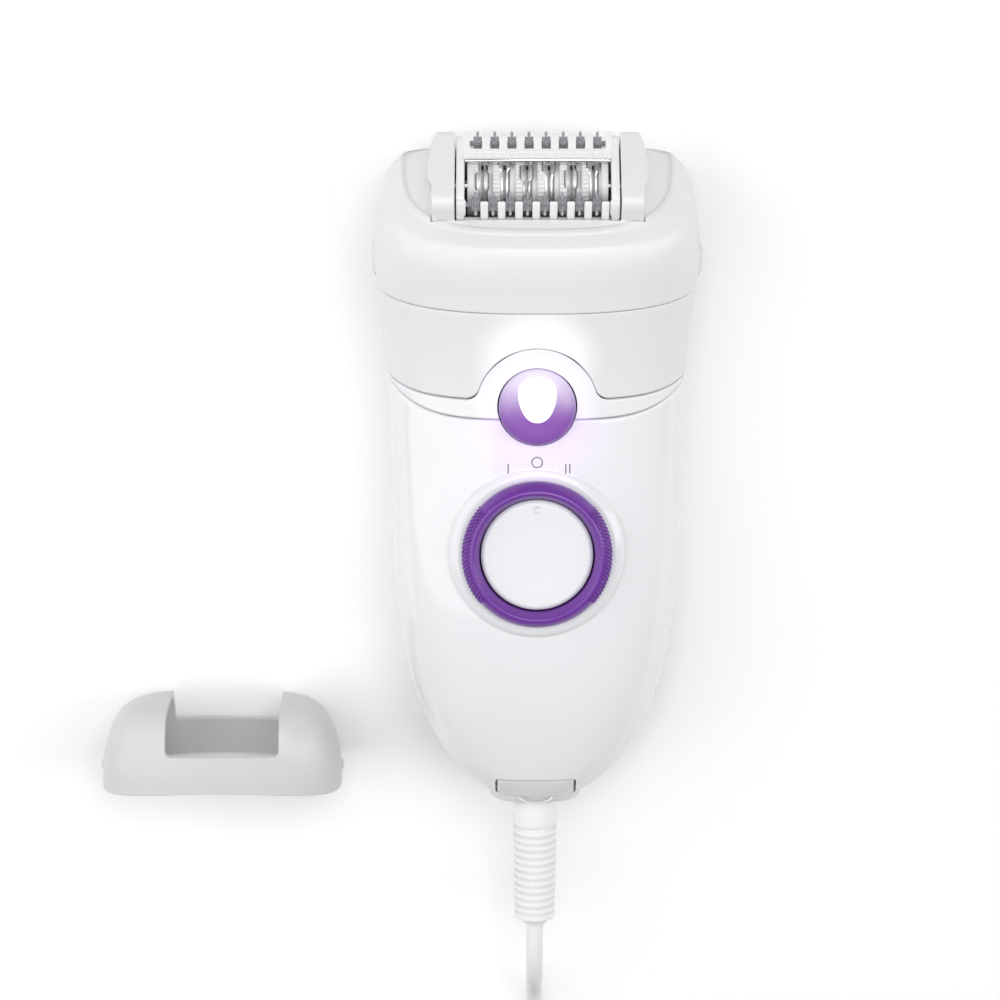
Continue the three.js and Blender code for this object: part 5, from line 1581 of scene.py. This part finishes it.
class EPILATOR_OT_cord(Operator):
    """Lay the cord: out of its strain relief, down to the table, into a tied coil and on to the adapter"""

    bl_idname = "epilator.cord"
    bl_label = "Cord and tie"

    def execute(self, context):
        sizes = context.scene.epilator_sizes
        route = lead_points() + coil_points() + tail_points()
        curve = bpy.data.curves.new("cord", "CURVE")
        curve.dimensions = "3D"
        curve.bevel_depth = sizes.cord_diameter / 2
        curve.bevel_resolution = 4
        curve.use_fill_caps = True
        spline = curve.splines.new("POLY")
        spline.points.add(len(route) - 1)
        for point, spot in zip(spline.points, route):
            point.co = (*seat(spot), 1)
        spline.use_smooth = True
        curve.materials.append(FINISHES["cord"])
        cord = bpy.data.objects.new("cord", curve)
        context.scene.collection.objects.link(cord)
        fit(cord, "cord_set", "cord_white", "cord_lead", "cord_coil", "cord_tail")
        plug = [bpy.data.objects["power_adapter"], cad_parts["adapter_pin_left"],
                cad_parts["adapter_pin_right"], self.tie()]
        return {"FINISHED"}

    def tie(self):
        """A strap around the winding, pressed flat where it lies under it."""
        middle_r, half = 21.65, 2.6
        outer, inner = [], []
        for i in range(64):
            angle = math.tau * i / 64
            across, up = bent(math.cos(angle), 0.45), bent(math.sin(angle), 0.45)
            outer.append((middle_r - 8.5 * across, 7.65 + 7.65 * up))
            inner.append((middle_r - 7.5 * across, 7.35 + 7.3 * up))
        grid_out, grid_in = [], []
        for i in range(9):
            y = -half + 2 * half * i / 8
            soft = dip(half - abs(y), 0.35)
            for grid, loop, more in ((grid_out, outer, soft), (grid_in, inner, 0)):
                row = []
                for r, z in loop:
                    shrink_r = r + (more if r < middle_r else -more)
                    shrink_z = z + (more if z < 7.5 else -more)
                    row.append(Vector((COIL["x"] + y, COIL["station"] - shrink_r, max(shrink_z, 0))))
                grid.append(row)
        strap = piece("cord_tie", *closed_shell(grid_out, grid_in, True), FINISHES["tie"], 45)
        fit(strap, "cord_set", "cord_white")
        return strap


class EPILATOR_OT_adapter(Operator):
    """Make the plug-in power adapter at the far end of the cord"""

    bl_idname = "epilator.adapter"
    bl_label = "Power adapter"

    def execute(self, context):
        x, start, length = ADAPTER["x"], ADAPTER["from"], ADAPTER["length"]
        width, height = ADAPTER["width"], ADAPTER["height"]
        rows = []
        steps = [0, 0.08, 0.25, 0.55, 1.0, 1.6] + [1.6 + (length - 4.6) * i / 10 for i in range(1, 11)]
        steps += [length - 2.2, length - 1.5, length - 0.9, length - 0.4, length - 0.12, length]
        for step in steps:
            inset = dip(step, 1.6) + dip(length - step, 2.6) * 0.8
            row = []
            for sx, sz, turn in ((1, 1, 0), (-1, 1, 90), (-1, -1, 180), (1, -1, 270)):
                for i in range(13):
                    angle = math.radians(turn + 7.5 * i)
                    cx = sx * (width / 2 - inset - 4) + 4 * math.cos(angle)
                    cz = height / 2 + sz * (height / 2 - inset - 4) + 4 * math.sin(angle)
                    row.append(Vector((x + cx, start + step, cz)))
            rows.append(row)
        body = piece("power_adapter", *skin(rows, caps=True), FINISHES["adapter"], 45)
        along = Matrix.Translation((x, 0, height / 2)) @ Matrix.Rotation(-math.pi / 2, 4, "X")
        end = start + length
        boss = rounded([(0, end - 1), (3.6, end - 1), (3.4, end + 0.4), (2.6, end + 2.4), (0, end + 2.4)], 0.4, 4)
        carved(body, moved(turned(boss, 64), along), "UNION", 45)
        band = moved(block(-width / 2 - 1, width / 2 + 1, start + 10.0, start + 10.35, -1, height + 1, 0.02, 1),
                     Matrix.Translation((x, 0, 0)))
        core = block(x - width / 2 + 0.35, x + width / 2 - 0.35, start + 9, start + 12, 0.35, height - 0.35, 3.6, 6)
        groove = piece("groove", *band, FINISHES["adapter"])
        carved(groove, core)
        carved(body, ([v.co / MM + Vector((0, ORIGIN_STATION, 0)) for v in groove.data.vertices],
                      [tuple(p.vertices) for p in groove.data.polygons]), sharp=45)
        bpy.data.objects.remove(groove)
        for side in (-1, 1):
            hole = turned([(0, start - 1), (2.3, start - 1), (2.3, start + 5), (0, start + 5)], 48)
            carved(body, moved(hole, Matrix.Translation((side * 9.5, 0, 0)) @ along), sharp=45)
        fit(body, "cord_set", "adapter_white", "adapter_body")
        for name in ("adapter_pin_left", "adapter_pin_right"):
            dress(name, FINISHES["brass"])
        return {"FINISHED"}


class EPILATOR_OT_connector(Operator):
    """Make the cord's small connector and its ribbed strain relief"""

    bl_idname = "epilator.connector"
    bl_label = "Connector and strain relief"

    def execute(self, context):
        sizes = context.scene.epilator_sizes
        along = Matrix.Translation((0, 0, CORD_Z)) @ Matrix.Rotation(-math.pi / 2, 4, "X")
        profile = [(0, -1.5), (4.9, -1.5), (4.9, 4), (4.1, 4.4), (4.1, 14.6), (0, 14.6)]
        plug = piece("connector_plug", *moved(turned(rounded(profile, 0.4, 4), 96), along), FINISHES["cord"], 45)
        for side in (-1, 1):
            hole = turned([(0, 6), (0.95, 6), (0.95, 16), (0, 16)], 24)
            carved(plug, moved(hole, Matrix.Translation((side * 1.9, 0, 0)) @ along), sharp=45)
        fit(plug, "cord_set", "cord_white", "connector_body")

        profile = [(1.85, -1.8), (4.45, -1.8), (4.65, -2.3), (4.72, -7.4), (4.6, -7.9)]
        for i in range(sizes.relief_ribs):
            station = -9 - i * 1.62
            radius = 4.25 + 0.55 * (station + RELIEF_LENGTH) / RELIEF_LENGTH
            profile += [(radius - 1.0, station + 0.62), (radius - 0.9, station + 0.5), (radius, station + 0.22),
                        (radius + 0.02, station - 0.25), (radius, station - 0.7), (radius - 0.62, station - 0.86)]
        profile += [(2.75, -RELIEF_LENGTH + 1), (2.6, -RELIEF_LENGTH + 0.3), (1.85, -RELIEF_LENGTH + 0.3)]
        relief = piece("ribbed_strain_relief", *moved(turned(rounded(profile, 0.14, 2), 96), along),
                       FINISHES["relief"], 60)
        fit(relief, "cord_set", "cord_white", "strain_relief")
        return {"FINISHED"}


# ---- The stage --------------------------------------------------------------------------------------


class EPILATOR_OT_camera(Operator):
    """Set the camera over the handle, tipped a little towards the tweezers"""

    bl_idname = "epilator.camera"
    bl_label = "Camera"

    def execute(self, context):
        # The picture is 1000 pixels wide, and one pixel is 0.2 mm at the aim.
        tip = math.radians(16)
        distance, scale, pixels, sensor = 0.63, 0.0002, 1000, 36
        across, along = -37.2 * scale, 59.5 * scale
        up = Vector((0, math.cos(tip), -math.sin(tip)))
        out = Vector((0, math.sin(tip), math.cos(tip)))
        aim = Vector((across, -0.004, 0.041)) + up * along
        camera = bpy.data.cameras.new("camera")
        camera.sensor_width = sensor
        camera.lens = sensor * distance / (pixels * scale)
        eye = bpy.data.objects.new("camera", camera)
        eye.location = aim + out * distance
        eye.rotation_euler = (-tip, 0, 0)
        context.scene.collection.objects.link(eye)
        context.scene.camera = eye
        return {"FINISHED"}


class EPILATOR_OT_stage(Operator):
    """Make the pale floor and the soft studio lights"""

    bl_idname = "epilator.stage"
    bl_label = "Floor and lights"

    def execute(self, context):
        colours = context.scene.epilator_colours
        material, nodes, links = new_material("pale_floor")
        place = nodes.new("ShaderNodeTexCoord")
        place.label = "Where on the floor"
        cloud = nodes.new("ShaderNodeTexNoise")
        cloud.label = "Faint cloudiness"
        cloud.inputs["Scale"].default_value = 3
        tint = nodes.new("ShaderNodeMix")
        tint.label = "Floor colour"
        tint.data_type = "RGBA"
        tint.inputs[6].default_value = (*[c * 0.99 for c in colours.floor], 1)
        tint.inputs[7].default_value = (*colours.floor, 1)
        surface = nodes.new("ShaderNodeBsdfPrincipled")
        surface.label = "Matt paper"
        surface.inputs["Roughness"].default_value = 0.9
        surface.inputs["Specular IOR Level"].default_value = 0.2
        output = nodes.new("ShaderNodeOutputMaterial")
        output.label = "Surface"
        links.new(place.outputs["Object"], cloud.inputs["Vector"])
        links.new(cloud.outputs["Fac"], tint.inputs[0])
        links.new(tint.outputs[2], surface.inputs["Base Color"])
        links.new(surface.outputs["BSDF"], output.inputs["Surface"])
        group_nodes(nodes, [("Floor", (place, cloud, tint, surface, output))])
        reach = 3
        mesh = bpy.data.meshes.new("floor")
        corners = [(-reach, -reach, 0), (reach, -reach, 0), (reach, reach, 0), (-reach, reach, 0)]
        mesh.from_pydata(corners, [], [(0, 1, 2, 3)])
        mesh.materials.append(material)
        floor = bpy.data.objects.new("floor", mesh)
        floor.location.z = -0.0006
        context.scene.collection.objects.link(floor)

        context.scene.view_settings.view_transform = "Standard"
        world = bpy.data.worlds.new("studio")
        world.use_nodes = True
        world.node_tree.nodes["Background"].inputs["Color"].default_value = (0.95, 0.96, 1.0, 1)
        world.node_tree.nodes["Background"].inputs["Strength"].default_value = 0.22
        context.scene.world = world
        for name, spot, aim, width, length, power in (
            ("key", (-0.62, 0.1, 0.62), (0, 0, 0), 0.84, 1.3, 6.1),
            ("top", (0.12, 0.45, 1.05), (0, 0, 0), 0.6, 0.6, 4.8),
            ("side", (0.78, 0.1, 0.62), (0, 0, 0), 0.34, 1.3, 4.6),
        ):
            light = bpy.data.lights.new(name, "AREA")
            light.shape = "RECTANGLE"
            light.size, light.size_y = width, length
            light.energy = power
            lamp = bpy.data.objects.new(name, light)
            lamp.location = spot
            lamp.rotation_euler = (Vector(aim) - Vector(spot)).to_track_quat("-Z", "Y").to_euler()
            context.scene.collection.objects.link(lamp)
        return {"FINISHED"}


# ---- The add-on -------------------------------------------------------------------------------------


class EpilatorSizes(PropertyGroup):
    """Sizes that change how the pieces are made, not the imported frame."""

    knurl_teeth: IntProperty(name="Knurl teeth", description="Teeth in each row of grip on one side of the switch",
                             default=26, min=8, max=40)
    front_fingers: IntProperty(name="Front fingers", description="Comb fingers in front of the tweezers", default=8,
                               min=4, max=8)
    relief_ribs: IntProperty(name="Strain relief ribs", description="Ribs around the strain relief", default=13,
                             min=4, max=13)
    cord_length: FloatProperty(name="Cord length", description="Free length of the cord", default=1.8,
                               subtype="DISTANCE", unit="LENGTH")
    cord_diameter: FloatProperty(name="Cord diameter", description="Thickness of the cord", default=0.0036,
                                 subtype="DISTANCE", unit="LENGTH")


class EpilatorColours(PropertyGroup):
    """Colours of the mouldings and of the floor."""

    shell: FloatVectorProperty(name="Shell", description="Glossy plastic of the handle", subtype="COLOR",
                               default=(0.79, 0.795, 0.805), min=0, max=1)
    head: FloatVectorProperty(name="Head", description="Satin plastic of the neck and the head", subtype="COLOR",
                              default=(0.74, 0.74, 0.745), min=0, max=1)
    ring: FloatVectorProperty(name="Switch ring", description="Plastic of the switch's ring", subtype="COLOR",
                              default=(0.15, 0.032, 0.31), min=0, max=1)
    lamp: FloatVectorProperty(name="Lamp", description="Tinted plastic around the lamp", subtype="COLOR",
                              default=(0.24, 0.09, 0.4), min=0, max=1)
    # The colour of the glow that the lamp's light leaves on the shell around it, painted on as a tint and an
    # emission.
    painted_glow_colour: FloatVectorProperty(name="Painted glow of the lamp", description="Tint that the lamp gives the shell around it",
                                    subtype="COLOR", default=(0.82, 0.74, 0.93), min=0, max=1)
    floor: FloatVectorProperty(name="Floor", description="Colour of the floor", subtype="COLOR",
                               default=(0.96, 0.96, 0.965), min=0, max=1)


OPERATORS = (
    EPILATOR_OT_camera,
    EPILATOR_OT_adapter,
    EPILATOR_OT_cord,
    EPILATOR_OT_connector,
    EPILATOR_OT_housing,
    EPILATOR_OT_switch,
    EPILATOR_OT_lamp,
    EPILATOR_OT_socket,
    EPILATOR_OT_works,
    EPILATOR_OT_head,
    EPILATOR_OT_comb,
    EPILATOR_OT_drum,
    EPILATOR_OT_cap,
    EPILATOR_OT_stage,
)


class EPILATOR_PT_parts(Panel):
    """Lists the epilator's sizes, colours and pieces"""

    bl_label = "Corded epilator"
    bl_idname = "EPILATOR_PT_parts"
    bl_space_type = "VIEW_3D"
    bl_region_type = "UI"
    bl_category = "Epilator"

    def draw(self, context):
        for group in (context.scene.epilator_sizes, context.scene.epilator_colours):
            box = self.layout.box()
            for name in type(group).__annotations__:
                box.prop(group, name)
        for operator in OPERATORS:
            self.layout.operator(operator.bl_idname)


CLASSES = (EpilatorSizes, EpilatorColours, *OPERATORS, EPILATOR_PT_parts)


def register():
    for cls in CLASSES:
        bpy.utils.register_class(cls)
    bpy.types.Scene.epilator_sizes = PointerProperty(type=EpilatorSizes)
    bpy.types.Scene.epilator_colours = PointerProperty(type=EpilatorColours)


def unregister():
    del bpy.types.Scene.epilator_colours
    del bpy.types.Scene.epilator_sizes
    for cls in reversed(CLASSES):
        bpy.utils.unregister_class(cls)


def main():
    register()
    make_finishes(bpy.context.scene.epilator_colours)
    for operator in OPERATORS:
        family, name = operator.bl_idname.split(".")
        getattr(getattr(bpy.ops, family), name)()


if __name__ == "__main__":
    main()
